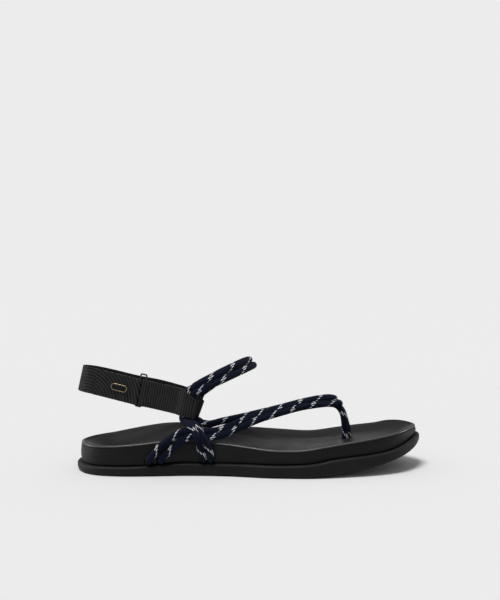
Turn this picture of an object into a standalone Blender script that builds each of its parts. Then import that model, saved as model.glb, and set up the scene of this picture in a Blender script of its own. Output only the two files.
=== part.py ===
"""A flat thong sandal for the right foot: moulded sole, dished footbed, braided cords and a webbing strap.

Metres, +Z up. The toe points to +X and the outer side of the foot to -Y.
The origin lies on the ground, midway along the sole and midway across the ball.
"""

import math

import bmesh
import bpy
import numpy as np
from mathutils import Vector

# Sole
SOLE_LENGTH = 0.261
BALL_WIDTH = 0.087
RIM_HEIGHT = 0.0298
TREAD_THICKNESS = 0.0090
TOE_SPRING = 0.0186
FLANGE = 0.0030
TREAD_TOP_ROUND = 0.0020
TREAD_BOTTOM_ROUND = 0.0029
WALL_BULGE = 0.0005
EDGE_ROUND = 0.0008

# Footbed
LIP_HEIGHT = 0.0020
LIP_ROUND = 0.0014
FOOTBED_THICKNESS = 0.0028
CUP_DEPTH = 0.0068
CUP_RUN = 0.0240

# Cords
CORD_DIAMETER = 0.0052
CORD_SPACING = 0.0047
INSTEP_HEIGHT = 0.0800
SLOT_DEPTH = 0.0062
SLOT_END = 0.0010
POST_SHARE = 0.60
POST_STRAIGHT = 0.0020
POST_BOW = 0.0008
LONGEST_CORD_STEP = 0.0110
WRAP_DIAMETER = 0.0054

# Heel strap
STRAP_WIDTH = 0.0194
STRAP_THICKNESS = 0.0012
STRAP_LEAN = 0.21
SLEEVE_CUT = 0.55
RETURN_LENGTH = 0.0120
BLEND = 0.0070
DIVE = 0.0140
TAB_CLEARANCE = 0.0020
STRAP_STEP = 0.0060
RING_WIRE = 0.0012
RING_SPAN = 0.0046
RING_RISE = 0.0040
SLEEVE_SLACK = 0.0007
SLEEVE_RUN_OUT = 0.0019
PLATE_LENGTH = 0.0126
PLATE_WIDTH = 0.0052
PLATE_THICKNESS = 0.0009

# Gap between pieces that touch
GAP = 0.0003

OUTLINE_HALF = 32
CAP_STEPS = 8

HALF_BALL = BALL_WIDTH / 2
CORD_R = CORD_DIAMETER / 2

# Sole sections from heel to toe. along: share of SOLE_LENGTH from the middle.
# outer, inner: share of HALF_BALL.
# rim_out, rim_in: share of RIM_HEIGHT. tread: share of TREAD_THICKNESS. under: share of TOE_SPRING.
# cup: share of CUP_DEPTH.
SOLE_COLUMNS = ("along", "outer", "inner", "rim_out", "rim_in", "tread", "under", "cup")
SOLE_SECTIONS = (
    (-0.490, -0.110, -0.110, 0.640, 0.640, 0.72, 0.0, 0.95),
    (-0.475, -0.430, 0.230, 0.642, 0.640, 0.72, 0.0, 0.95),
    (-0.450, -0.640, 0.450, 0.640, 0.640, 0.72, 0.0, 0.95),
    (-0.415, -0.765, 0.560, 0.645, 0.665, 0.73, 0.0, 0.95),
    (-0.360, -0.830, 0.605, 0.672, 0.750, 0.76, 0.0, 0.95),
    (-0.303, -0.832, 0.605, 0.715, 0.840, 0.81, 0.0, 0.92),
    (-0.249, -0.808, 0.580, 0.768, 0.905, 0.91, 0.0, 0.86),
    (-0.192, -0.784, 0.556, 0.799, 0.905, 1.02, 0.0, 0.78),
    (-0.153, -0.782, 0.552, 0.799, 0.815, 1.00, 0.0, 0.68),
    (-0.111, -0.793, 0.556, 0.752, 0.755, 0.99, 0.0, 0.56),
    (-0.054, -0.828, 0.600, 0.701, 0.765, 0.99, 0.0, 0.46),
    (0.000, -0.897, 0.712, 0.651, 0.755, 1.01, 0.0, 0.38),
    (0.054, -0.966, 0.874, 0.604, 0.690, 1.00, 0.0, 0.32),
    (0.107, -0.989, 0.954, 0.594, 0.640, 1.02, 0.0, 0.28),
    (0.153, -1.000, 0.990, 0.615, 0.604, 1.08, 0.0, 0.26),
    (0.192, -0.985, 1.000, 0.665, 0.597, 1.22, 0.03, 0.26),
    (0.218, -0.966, 1.000, 0.698, 0.617, 1.39, 0.07, 0.27),
    (0.276, -0.905, 0.985, 0.768, 0.695, 1.57, 0.185, 0.28),
    (0.333, -0.825, 0.945, 0.829, 0.770, 1.70, 0.30, 0.30),
    (0.392, -0.690, 0.860, 0.900, 0.850, 1.93, 0.50, 0.32),
    (0.425, -0.555, 0.760, 0.946, 0.930, 2.20, 0.62, 0.34),
    (0.460, -0.310, 0.555, 0.980, 0.980, 2.52, 0.78, 0.36),
    (0.482, -0.050, 0.340, 0.982, 0.985, 2.70, 0.90, 0.36),
    (0.491, 0.140, 0.140, 0.980, 0.980, 2.76, 0.98, 0.36),
)

# Columns of the path tables below. along: share of SOLE_LENGTH from the middle.
# across: share of HALF_BALL. height: share of INSTEP_HEIGHT.
PATH_COLUMNS = ("along", "across", "height")

# Where the cords leave the sole: share of SOLE_LENGTH from the middle
TOE_EXITS = (-0.281, -0.2475)
ANKLE_EXITS = (-0.1295, -0.1090)
TOE_EXITS_IN = (-0.252, -0.219)
ANKLE_EXITS_IN = (-0.1510, -0.1310)
TOE_LEAN = 0.5

# The toe cords between the rims
TOE_UPPER_OUTER = (
    (-0.193, -0.842, 0.390),
    (-0.166, -0.822, 0.410),
    (-0.125, -0.765, 0.394),
    (-0.084, -0.670, 0.403),
    (-0.028, -0.540, 0.463),
    (0.029, -0.398, 0.526),
    (0.087, -0.260, 0.571),
    (0.146, -0.115, 0.611),
    (0.203, 0.005, 0.640),
    (0.236, 0.092, 0.643),
)
TOE_UPPER_APEX = (0.2525, 0.190, 0.626)
TOE_UPPER_INNER = (
    (0.236, 0.288, 0.622),
    (0.203, 0.348, 0.606),
    (0.146, 0.385, 0.568),
    (0.087, 0.425, 0.517),
    (0.029, 0.465, 0.468),
    (-0.031, 0.510, 0.419),
    (-0.084, 0.550, 0.379),
    (-0.122, 0.592, 0.346),
)
TOE_LOWER_OUTER = (
    (-0.160, -0.868, 0.366),
    (-0.125, -0.830, 0.344),
    (-0.084, -0.728, 0.356),
    (-0.028, -0.600, 0.418),
    (0.029, -0.460, 0.484),
    (0.087, -0.322, 0.530),
    (0.146, -0.178, 0.569),
    (0.203, -0.055, 0.589),
    (0.235, 0.050, 0.588),
    (0.258, 0.125, 0.568),
)
TOE_LOWER_INNER = (
    (0.258, 0.265, 0.568),
    (0.235, 0.345, 0.578),
    (0.203, 0.425, 0.570),
    (0.146, 0.484, 0.542),
    (0.087, 0.526, 0.497),
    (0.029, 0.568, 0.450),
    (-0.031, 0.613, 0.402),
    (-0.084, 0.652, 0.366),
    (-0.115, 0.680, 0.338),
)
POST_TOP = (0.2750, 0.190, 0.505)
POST_FOOT = (0.2890, 0.198, 0.0)
POST_TURN = math.radians(53)
WRAP_MIDDLE = (0.2670, 0.190, 0.580)

# The ankle cords over the crossing and over the instep
ANKLE_REAR_OUTER = (
    (-0.1395, -0.905, 0.304),
    (-0.1445, -0.944, 0.355),
    (-0.1510, -0.906, 0.403),
    (-0.1640, -0.852, 0.457),
)
ANKLE_FRONT_OUTER = (
    (-0.1165, -0.897, 0.283),
    (-0.1270, -0.935, 0.345),
    (-0.1375, -0.893, 0.400),
    (-0.1500, -0.838, 0.453),
)
LOOP_REAR = (
    (-0.141, -0.595, 0.824),
    (-0.100, -0.490, 0.889),
    (-0.057, -0.335, 0.949),
    (-0.022, -0.165, 0.995),
    (-0.0025, 0.035, 1.013),
    (-0.020, 0.245, 0.988),
    (-0.058, 0.375, 0.926),
    (-0.101, 0.495, 0.852),
    (-0.143, 0.605, 0.758),
)
LOOP_FRONT = (
    (-0.128, -0.610, 0.781),
    (-0.085, -0.507, 0.838),
    (-0.042, -0.355, 0.896),
    (-0.006, -0.180, 0.943),
    (0.0105, 0.035, 0.960),
    (-0.006, 0.260, 0.940),
    (-0.044, 0.395, 0.886),
    (-0.086, 0.520, 0.808),
    (-0.122, 0.625, 0.712),
)
ANKLE_REAR_INNER = ((-0.172, 0.715, 0.357), (-0.163, 0.745, 0.290))
ANKLE_FRONT_INNER = ((-0.153, 0.730, 0.354), (-0.1445, 0.760, 0.290))

# Middle line of the heel strap's outer face layer, from the inner side round the heel to the outer side
STRAP_PATH = (
    (-0.134, 0.715, 0.506),
    (-0.175, 0.660, 0.562),
    (-0.217, 0.585, 0.612),
    (-0.283, 0.465, 0.679),
    (-0.347, 0.350, 0.727),
    (-0.420, 0.272, 0.790),
    (-0.470, 0.150, 0.832),
    (-0.4935, -0.070, 0.850),
    (-0.473, -0.290, 0.840),
    (-0.428, -0.385, 0.814),
    (-0.383, -0.440, 0.782),
    (-0.322, -0.500, 0.738),
    (-0.290, -0.527, 0.718),
    (-0.240, -0.575, 0.686),
    (-0.178, -0.655, 0.645),
    (-0.130, -0.705, 0.616),
)
# Distances along that line, from its ends, as shares of SOLE_LENGTH
SLEEVE_IN = 0.040
SLEEVE_OUT = 0.044
RING_OUT = 0.196
TAB_END = 0.325
HEEL_MIDDLE = (-0.35, -0.04)
PLATE_OUT = 0.250


for old in list(bpy.data.objects):
    bpy.data.objects.remove(old, do_unlink=True)

sandal = bpy.data.collections.new("rope_sandal")
bpy.context.scene.collection.children.link(sandal)
cutters = bpy.data.collections.new("cutters")
bpy.context.scene.collection.children.link(cutters)
cutters.hide_render = True


def material(name, color, roughness, metallic=0.0):
    made = bpy.data.materials.new(name)
    made.use_nodes = True
    shader = made.node_tree.nodes["Principled BSDF"]
    shader.inputs["Base Color"].default_value = (*color, 1)
    shader.inputs["Roughness"].default_value = roughness
    shader.inputs["Metallic"].default_value = metallic
    return made


RUBBER = material("rubber", (0.010, 0.010, 0.011), 0.55)
FOAM = material("foam", (0.012, 0.012, 0.013), 0.60)
LINING = material("lining", (0.016, 0.016, 0.017), 0.42)
CORD = material("cord", (0.010, 0.016, 0.045), 0.80)
WEBBING = material("webbing", (0.012, 0.012, 0.012), 0.75)
WIRE = material("wire", (0.020, 0.020, 0.020), 0.35, 0.8)
PLATE = material("plate", (0.030, 0.028, 0.026), 0.30, 0.9)


def spline(points, steps, closed=False):
    """Points on a centripetal spline through the given rows, with the given steps in each span."""
    rows = [np.array(row, float) for row in points]
    if closed:
        rows = [rows[-1]] + rows + rows[:2]
    else:
        rows = [2 * rows[0] - rows[1]] + rows + [2 * rows[-1] - rows[-2]]
    found = []
    for a, b, c, d in zip(rows, rows[1:], rows[2:], rows[3:]):
        t0 = 0.0
        t1 = t0 + max(np.linalg.norm((b - a)[:2]), 1e-6) ** 0.5
        t2 = t1 + max(np.linalg.norm((c - b)[:2]), 1e-6) ** 0.5
        t3 = t2 + max(np.linalg.norm((d - c)[:2]), 1e-6) ** 0.5
        for k in range(steps):
            t = t1 + (t2 - t1) * k / steps
            p = a * (t1 - t) / (t1 - t0) + b * (t - t0) / (t1 - t0)
            q = b * (t2 - t) / (t2 - t1) + c * (t - t1) / (t2 - t1)
            r = c * (t3 - t) / (t3 - t2) + d * (t - t2) / (t3 - t2)
            u = p * (t2 - t) / (t2 - t0) + q * (t - t0) / (t2 - t0)
            v = q * (t3 - t) / (t3 - t1) + r * (t - t1) / (t3 - t1)
            found.append(u * (t2 - t) / (t2 - t1) + v * (t - t1) / (t2 - t1))
    if not closed:
        found.append(rows[-2])
    return np.array(found)


def even(line, count, dims=2):
    """The same line as count + 1 rows at even distances, measured over its first dims columns."""
    run = np.concatenate([[0], np.cumsum(np.linalg.norm(np.diff(line[:, :dims], axis=0), axis=1))])
    at = np.linspace(0, run[-1], count + 1)
    return np.stack([np.interp(at, run, line[:, c]) for c in range(line.shape[1])], axis=1)


def link(name, verts, faces, look, into=sandal):
    mesh = bpy.data.meshes.new(name)
    mesh.from_pydata([tuple(v) for v in verts], [], faces)
    bm = bmesh.new()
    bm.from_mesh(mesh)
    bmesh.ops.recalc_face_normals(bm, faces=bm.faces)
    bm.to_mesh(mesh)
    bm.free()
    mesh.materials.append(look)
    mesh.shade_smooth()
    mesh.set_sharp_from_angle(angle=math.radians(40))
    made = bpy.data.objects.new(name, mesh)
    into.objects.link(made)
    return made


# Sole outline
# Columns of a row below: x, y, rim height, tread top, underside, cup depth
def sole_row(section, side):
    row = dict(zip(SOLE_COLUMNS, section))
    across = row["outer"] if side < 0 else row["inner"]
    rim = row["rim_out"] if side < 0 else row["rim_in"]
    return (
        row["along"] * SOLE_LENGTH,
        across * HALF_BALL,
        rim * RIM_HEIGHT,
        row["tread"] * TREAD_THICKNESS,
        row["under"] * TOE_SPRING,
        row["cup"] * CUP_DEPTH,
    )


outer_rows = [sole_row(section, -1) for section in SOLE_SECTIONS]
inner_rows = [sole_row(section, 1) for section in SOLE_SECTIONS]
loop = spline(outer_rows + inner_rows[-2:0:-1], 12, closed=True)
turn = 12 * (len(outer_rows) - 1)
outer_line = even(loop[: turn + 1], OUTLINE_HALF)
inner_line = even(np.vstack([loop[turn:], loop[:1]]), OUTLINE_HALF)
outline = np.vstack([outer_line[:-1], inner_line[:-1]])
outline[:, 4] = np.maximum(outline[:, 4], 0)
ahead = np.roll(outline[:, :2], -1, axis=0) - np.roll(outline[:, :2], 1, axis=0)
outward = np.stack([ahead[:, 1], -ahead[:, 0]], axis=1)
outward /= np.linalg.norm(outward, axis=1)[:, None]
COUNT = len(outline)


def wall_y(x, side):
    """Y of the midsole wall at x, with side -1 for the outer side and 1 for the inner side."""
    line = outer_line if side < 0 else inner_line[::-1]
    return float(np.interp(x, line[:, 0], line[:, 1]))


def tread_top(x, side):
    line = outer_line if side < 0 else inner_line[::-1]
    return float(np.interp(x, line[:, 0], line[:, 3]))


def ring_at(offset, heights):
    """One ring of points round the sole, offset outward from its outline."""
    flat = outline[:, :2] + outward * offset
    return np.column_stack([flat, heights])


def cup(x, y, depth):
    """How far the footbed lies under its rim: 0 at the rim and the full depth past the cup's run."""
    reach = np.min(np.hypot(outline[:, 0] - x, outline[:, 1] - y))
    share = min(reach / CUP_RUN, 1.0)
    return depth * (share * share * (3 - 2 * share))


def under_footbed(x, y, depth):
    """How far the footbed's underside lies under the rim's groove."""
    return cup(x, y, depth) + (FOOTBED_THICKNESS - LIP_HEIGHT) * cup(x, y, 1.0)


def flat_cap(x, y, depth):
    return 0.0


def stacked(name, rings, bottom, top, look):
    """A closed solid from rings of points, closed underneath and on top by rows that run across the sole."""
    verts = [tuple(p) for ring in rings for p in ring]
    faces = []
    for level in range(len(rings) - 1):
        for i in range(COUNT):
            j = (i + 1) % COUNT
            low, high = level * COUNT, (level + 1) * COUNT
            faces.append((low + i, low + j, high + j, high + i))
    for base, height in ((0, bottom), ((len(rings) - 1) * COUNT, top)):
        edge = np.array(verts[base : base + COUNT])
        rows = []
        for i in range(1, OUTLINE_HALF):
            a, b = i, COUNT - i
            row = [base + a]
            for k in range(1, CAP_STEPS):
                t = 0.5 - 0.5 * math.cos(math.pi * (0.12 + 0.76 * k / CAP_STEPS)) / math.cos(math.pi * 0.12)
                p = edge[a] * (1 - t) + edge[b] * t
                depth = outline[a, 5] * (1 - t) + outline[b, 5] * t
                row.append(len(verts))
                verts.append((p[0], p[1], p[2] - height(p[0], p[1], depth)))
            row.append(base + b)
            rows.append(row)
        for near, far in zip(rows, rows[1:]):
            for k in range(CAP_STEPS):
                faces.append((near[k], near[k + 1], far[k + 1], far[k]))
        for tip, row in ((base, rows[0]), (base + OUTLINE_HALF, rows[-1])):
            for k in range(CAP_STEPS):
                faces.append((tip, row[k], row[k + 1]))
    return link(name, verts, faces, look)


rim, tread, under = outline[:, 2], outline[:, 3], outline[:, 4]

# Outsole: a rubber slab with a rounded flange all round
rounded = [
    ring_at(FLANGE - TREAD_BOTTOM_ROUND * (1 - math.sin(a)), under + TREAD_BOTTOM_ROUND * (1 - math.cos(a)))
    for a in (0.0, math.radians(35), math.radians(65), math.radians(90))
]
shoulder = [
    ring_at(FLANGE - TREAD_TOP_ROUND * (1 - math.cos(a)), tread - TREAD_TOP_ROUND * (1 - math.sin(a)))
    for a in (0.0, math.radians(45), math.radians(90))
]
outsole = stacked("outsole", rounded + shoulder, flat_cap, flat_cap, RUBBER)

# Midsole: the wall from the outsole to the rim, its top following the underside of the footbed
foot = tread + GAP
middle = (foot + rim) / 2
midsole = stacked(
    "midsole",
    [
        ring_at(-EDGE_ROUND, foot),
        ring_at(0.0, foot + EDGE_ROUND),
        ring_at(WALL_BULGE, middle),
        ring_at(0.0, rim - EDGE_ROUND),
        ring_at(-EDGE_ROUND, rim),
    ],
    flat_cap,
    under_footbed,
    FOAM,
)

# Footbed: a cupped cover with a rolled lip that sits on the midsole's rim
under_lip = rim + GAP
insole = stacked(
    "insole",
    [
        ring_at(-LIP_ROUND * 0.65, under_lip),
        ring_at(-LIP_ROUND * 0.08, under_lip + LIP_HEIGHT * 0.3),
        ring_at(-LIP_ROUND * 0.2, rim + LIP_HEIGHT * 0.7),
        ring_at(-LIP_ROUND, rim + LIP_HEIGHT),
    ],
    under_footbed,
    cup,
    LINING,
)


def footbed_top(x, y):
    """Height of the footbed's upper face at a point."""
    share = (y - wall_y(x, -1)) / (wall_y(x, 1) - wall_y(x, -1))
    outer, inner = outer_line, inner_line[::-1]
    rim_outer = np.interp(x, outer[:, 0], outer[:, 2])
    rim_inner = np.interp(x, inner[:, 0], inner[:, 2])
    depth = np.interp(x, outer[:, 0], outer[:, 5])
    return float(rim_outer * (1 - share) + rim_inner * share + LIP_HEIGHT - cup(x, y, depth))


# Heel strap
def spots(table):
    """The table's rows as points in metres."""
    sizes = dict(zip(PATH_COLUMNS, (SOLE_LENGTH, HALF_BALL, INSTEP_HEIGHT)))
    return [tuple(share * sizes[column] for share, column in zip(row, PATH_COLUMNS)) for row in table]


strap_line = spline(spots(STRAP_PATH), 10)
strap_run = np.concatenate([[0], np.cumsum(np.linalg.norm(np.diff(strap_line, axis=0), axis=1))])
STRAP_END = strap_run[-1]


sleeve_in = SLEEVE_IN * SOLE_LENGTH
sleeve_out = STRAP_END - SLEEVE_OUT * SOLE_LENGTH
SLEEVE_REACH = CORD_DIAMETER


def on_strap(s):
    """Point, outward direction and width direction of the strap at a distance along its line."""
    at = np.array([np.interp(s, strap_run, strap_line[:, c]) for c in range(3)])
    if s < 0:
        at += (strap_line[1] - strap_line[0]) / np.linalg.norm(strap_line[1] - strap_line[0]) * s
    if s > STRAP_END:
        step = strap_line[-1] - strap_line[-2]
        at += step / np.linalg.norm(step) * (s - STRAP_END)
    # Within a sleeve the directions stay those of its inner end, so that its walls are parallel
    held = min(max(s, sleeve_in + SLEEVE_REACH), sleeve_out - SLEEVE_REACH)
    low, high = held - STRAP_STEP * 0.7, held + STRAP_STEP * 0.7
    ends = [np.array([np.interp(e, strap_run, strap_line[:, c]) for c in range(3)]) for e in (low, high)]
    tangent = Vector(ends[1] - ends[0]).normalized()
    wide = Vector((STRAP_LEAN, 0, 1))
    wide = (wide - tangent * wide.dot(tangent)).normalized()
    out = tangent.cross(wide).normalized()
    inside = Vector((HEEL_MIDDLE[0] * SOLE_LENGTH, HEEL_MIDDLE[1] * HALF_BALL, at[2]))
    return Vector(at), -out if out.dot(Vector(at) - inside) < 0 else out, wide


LAYER = STRAP_THICKNESS + GAP
SLEEVE_R = CORD_R + SLEEVE_SLACK + STRAP_THICKNESS / 2
RING_R = RING_WIRE / 2 + GAP + STRAP_THICKNESS / 2
BETWEEN = -LAYER / 2
ring_left = STRAP_END - RING_OUT * SOLE_LENGTH
ring_right = ring_left + RING_SPAN
tab_end = STRAP_END - TAB_END * SOLE_LENGTH


def fold(center, half, radius, way, start, stop, tail, blend):
    """The webbing's middle line where it folds round something: (distance, offset) rows.

    It comes in at offset start, goes round the front of what it holds and leaves at offset stop,
    with a straight tail. way is 1 where the fold faces the strap's front end and -1 where it faces back.
    """
    rows = []
    spread = radius if start > stop else -radius
    for k in range(5):
        ease = 0.5 - 0.5 * math.cos(math.pi * k / 5)
        rows.append((-half - blend * (1 - k / 5), start + (BETWEEN + spread - start) * ease))
    rows.append((-half, BETWEEN + spread))
    for k in range(7):
        a = math.pi * k / 6
        rows.append((half + radius * math.sin(a), BETWEEN + spread * math.cos(a)))
    rows.append((-half, BETWEEN - spread))
    for k in range(1, 6):
        ease = 0.5 - 0.5 * math.cos(math.pi * k / 5)
        rows.append((-half - blend * k / 5, BETWEEN - spread + (stop - BETWEEN + spread) * ease))
    rows.append((-half - blend - tail, stop))
    return [(center + way * along, offset) for along, offset in rows]


def ribbon(name, rows):
    """Webbing whose middle line is given as (distance along the strap, offset outward) rows."""
    kept = [rows[0]]
    for row in rows[1:]:
        if math.dist(row, kept[-1]) > STRAP_THICKNESS * 0.2:
            kept.append(row)
    line = np.array(kept)
    step = np.gradient(line, axis=0)
    side = np.stack([-step[:, 1], step[:, 0]], axis=1)
    side /= np.linalg.norm(side, axis=1)[:, None]
    verts, faces = [], []
    for row, normal in zip(line, side):
        for face in (0.5, -0.5):
            s, offset = row + normal * STRAP_THICKNESS * face
            point, out, wide = on_strap(s)
            cut = max(0.0, s - (sleeve_out - CORD_SPACING), (sleeve_in + CORD_SPACING) - s)
            if abs(s - sleeve_out) > SLEEVE_REACH * 4 and abs(s - sleeve_in) > SLEEVE_REACH * 4:
                cut = 0.0
            high = STRAP_WIDTH / 2 - SLEEVE_CUT * cut
            verts.append(point + out * offset + wide * high)
            verts.append(point + out * offset - wide * STRAP_WIDTH / 2)
    for i in range(len(line) - 1):
        a, b = 4 * i, 4 * i + 4
        for p, q in ((0, 1), (1, 3), (3, 2), (2, 0)):
            faces.append((a + p, a + q, b + q, b + p))
    faces.append((0, 1, 3, 2))
    last = 4 * (len(line) - 1)
    faces.append((last, last + 2, last + 3, last + 1))
    return link(name, verts, faces, WEBBING)


def straight(start, stop, offset):
    """Rows along the strap at one offset, between two distances."""
    count = max(2, int(abs(stop - start) / STRAP_STEP))
    return [(start + (stop - start) * k / count, offset) for k in range(count + 1)]


half_pair = CORD_SPACING / 2
sleeve_rows = fold(sleeve_in, half_pair, SLEEVE_R, -1, 0.0, -LAYER, RETURN_LENGTH, BLEND)
sleeve_rows = sleeve_rows[::-1]
front_of_bend = tab_end - TAB_CLEARANCE
tab_reach = ring_left - BLEND * 0.6 - TAB_CLEARANCE
inner_run = straight(sleeve_in + half_pair + BLEND * 1.6, front_of_bend - DIVE, 0.0)
dive = []
for k in range(1, 5):
    dive.append((front_of_bend - DIVE * (1 - k / 4), -LAYER * (0.5 - 0.5 * math.cos(math.pi * k / 4))))
under_tab = straight(tab_end + TAB_CLEARANCE, tab_reach, -LAYER)
ring_fold = fold(ring_left, 0.0, RING_R, 1, -LAYER, 0.0, 0.0, BLEND * 0.6)
tab_run = straight(tab_reach, tab_end, 0.0)
heel_strap = ribbon("heel_strap", sleeve_rows + inner_run + dive + under_tab + ring_fold + tab_run)

front_sleeve = fold(sleeve_out, half_pair, SLEEVE_R, 1, 0.0, -LAYER, RETURN_LENGTH, BLEND)
ring_side = fold(ring_right, 0.0, RING_R, -1, 0.0, -LAYER, RETURN_LENGTH * 0.3, BLEND * 0.6)
between = straight(ring_right + BLEND, sleeve_out - half_pair - BLEND * 1.4, 0.0)
front_strap = ribbon("front_strap", ring_side[::-1] + between + front_sleeve)


# Cords
def tube(name, points, diameter, look=CORD):
    """A cord as a mesh: a curve with a round bevel, made a mesh and welded at its caps."""
    data = bpy.data.curves.new(name, "CURVE")
    data.dimensions = "3D"
    data.bevel_depth = diameter / 2
    data.bevel_resolution = 3
    data.use_fill_caps = True
    track = data.splines.new("POLY")
    track.points.add(len(points) - 1)
    for spot, p in zip(track.points, points):
        spot.co = (*p, 1)
    guide = bpy.data.objects.new(name + "_guide", data)
    bpy.context.scene.collection.objects.link(guide)
    bpy.context.view_layer.update()
    mesh = bpy.data.meshes.new_from_object(guide.evaluated_get(bpy.context.evaluated_depsgraph_get()))
    bpy.data.objects.remove(guide, do_unlink=True)
    bm = bmesh.new()
    bm.from_mesh(mesh)
    bmesh.ops.remove_doubles(bm, verts=bm.verts, dist=0.00001)
    bmesh.ops.recalc_face_normals(bm, faces=bm.faces)
    bm.to_mesh(mesh)
    bm.free()
    mesh.materials.clear()
    mesh.materials.append(look)
    mesh.name = name
    made = bpy.data.objects.new(name, mesh)
    sandal.objects.link(made)
    return made


LEAST_STEP = CORD_R * 0.9
BEND_STEP = CORD_R * 0.46


def thinned(points, firm=(), sharpest=20):
    """A smooth curve through the points, with more rows where it bends.

    The firm points all stay, and the line between two of them is straight.
    """
    rows = [np.array(p, float) for p in points]
    rows = [2 * rows[0] - rows[1]] + rows + [2 * rows[-1] - rows[-2]]
    held = {tuple(p) for p in firm}
    stays = set()
    dense = []
    for a, b, c, d in zip(rows, rows[1:], rows[2:], rows[3:]):
        if tuple(b) in held:
            stays.add(len(dense))
            if tuple(c) in held:
                dense.append(b)
                continue
        t1 = np.linalg.norm(b - a) ** 0.5
        t2 = t1 + np.linalg.norm(c - b) ** 0.5
        t3 = t2 + np.linalg.norm(d - c) ** 0.5
        for k in range(16):
            t = t1 + (t2 - t1) * k / 16
            p = a * (t1 - t) / t1 + b * t / t1
            q = b * (t2 - t) / (t2 - t1) + c * (t - t1) / (t2 - t1)
            r = c * (t3 - t) / (t3 - t2) + d * (t - t2) / (t3 - t2)
            u = p * (t2 - t) / t2 + q * t / t2
            v = q * (t3 - t) / (t3 - t1) + r * (t - t1) / (t3 - t1)
            dense.append(u * (t2 - t) / (t2 - t1) + v * (t - t1) / (t2 - t1))
    dense.append(rows[-2])
    kept = [dense[0]]
    bend, run = 0.0, 0.0
    for index, (before, here, after) in enumerate(zip(dense, dense[1:], dense[2:]), 1):
        one, two = Vector(here - before), Vector(after - here)
        bend += math.degrees(one.angle(two, 0.0))
        run += one.length
        if index in stays:
            if run < LEAST_STEP and tuple(kept[-1]) not in held:
                kept.pop()
            kept.append(here)
            bend, run = 0.0, 0.0
            continue
        least = LEAST_STEP if tuple(kept[-1]) in held else BEND_STEP
        if run > LONGEST_CORD_STEP or (bend > sharpest and run > least):
            kept.append(here)
            bend, run = 0.0, 0.0
    if np.linalg.norm(dense[-1] - kept[-1]) < BEND_STEP:
        kept.pop()
    kept.append(dense[-1])
    return kept


def leaving(along, side, lean=0.0):
    """The cord from inside its slot to the foot of the wall outside: out level, then up with a lean."""
    x = along * SOLE_LENGTH
    level = tread_top(x, side) + CORD_R + GAP
    clear = wall_y(x, side) + side * (CORD_R + GAP + WALL_BULGE)
    bend = CORD_R * 1.25
    rows = [(x, wall_y(x, side) - side * (SLOT_DEPTH - SLOT_END), level)]
    for a in (0, 30, 60, 90):
        a = math.radians(a)
        rise = bend * (1 - math.cos(a))
        rows.append((x + lean * rise, clear - side * bend * (1 - math.sin(a)), level + rise))
    return rows


def along_wall(rows, side):
    """Points that lie on the midsole's wall.

    A row is (share of SOLE_LENGTH, share of RIM_HEIGHT, stand-off as a share of CORD_DIAMETER).
    """
    clear = CORD_R + GAP + WALL_BULGE
    found = []
    for along, height, off in rows:
        x = along * SOLE_LENGTH
        found.append((x, wall_y(x, side) + side * (clear + off * CORD_DIAMETER), height * RIM_HEIGHT))
    return found


def in_sleeve(center, shift, way):
    """A cord's straight run through a sleeve, bottom to top."""
    point, out, wide = on_strap(center + shift)
    middle = point + out * BETWEEN
    low, high = STRAP_WIDTH / 2 + SLEEVE_RUN_OUT, STRAP_WIDTH / 2 - SLEEVE_RUN_OUT
    rows = [middle - wide * low, middle, middle + wide * high]
    return [tuple(row) for row in (rows if way > 0 else rows[::-1])]


toe_upper = thinned(
    leaving(TOE_EXITS[0], -1, TOE_LEAN)
    + along_wall(((-0.2665, 0.53, 0.0), (-0.247, 0.73, 0.0), (-0.221, 0.905, 0.06)), -1)
    + spots(TOE_UPPER_OUTER)
    + spots((TOE_UPPER_APEX,))
    + spots(TOE_UPPER_INNER)
    + along_wall(((-0.160, 0.935, 0.12), (-0.200, 0.72, 0.0), (-0.236, 0.50, 0.0)), 1)
    + leaving(TOE_EXITS_IN[0], 1, TOE_LEAN)[::-1]
)
post_mid = np.array(spots((POST_TOP,))[0])
foot_x, foot_y = POST_FOOT[0] * SOLE_LENGTH, POST_FOOT[1] * HALF_BALL
foot_z = footbed_top(foot_x, foot_y)
tread_z = (tread_top(foot_x, -1) + tread_top(foot_x, 1)) / 2
POST_DEPTH = FOOTBED_THICKNESS + POST_SHARE * (foot_z - FOOTBED_THICKNESS - tread_z)


def post(way):
    """One cord of the post, from the strap down into the footbed. way is -1 for the outer cord."""
    near = post_mid + np.array([0, way * CORD_SPACING / 2, 0])
    low = np.array([math.cos(POST_TURN), math.sin(POST_TURN), 0]) * way * CORD_SPACING / 2
    end = np.array([foot_x, foot_y, foot_z]) + low
    half_axis = Vector((math.cos(POST_TURN), 1 + math.sin(POST_TURN), 0)).normalized()
    half = (post_mid + end - low) / 2 + np.array([POST_BOW, 0, 0])
    half += np.array(half_axis) * way * CORD_SPACING / 2
    deep = end - np.array([0, 0, POST_DEPTH])
    return [tuple(near), tuple(half), tuple(end + np.array([0, 0, POST_STRAIGHT])), tuple(deep)]


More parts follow.
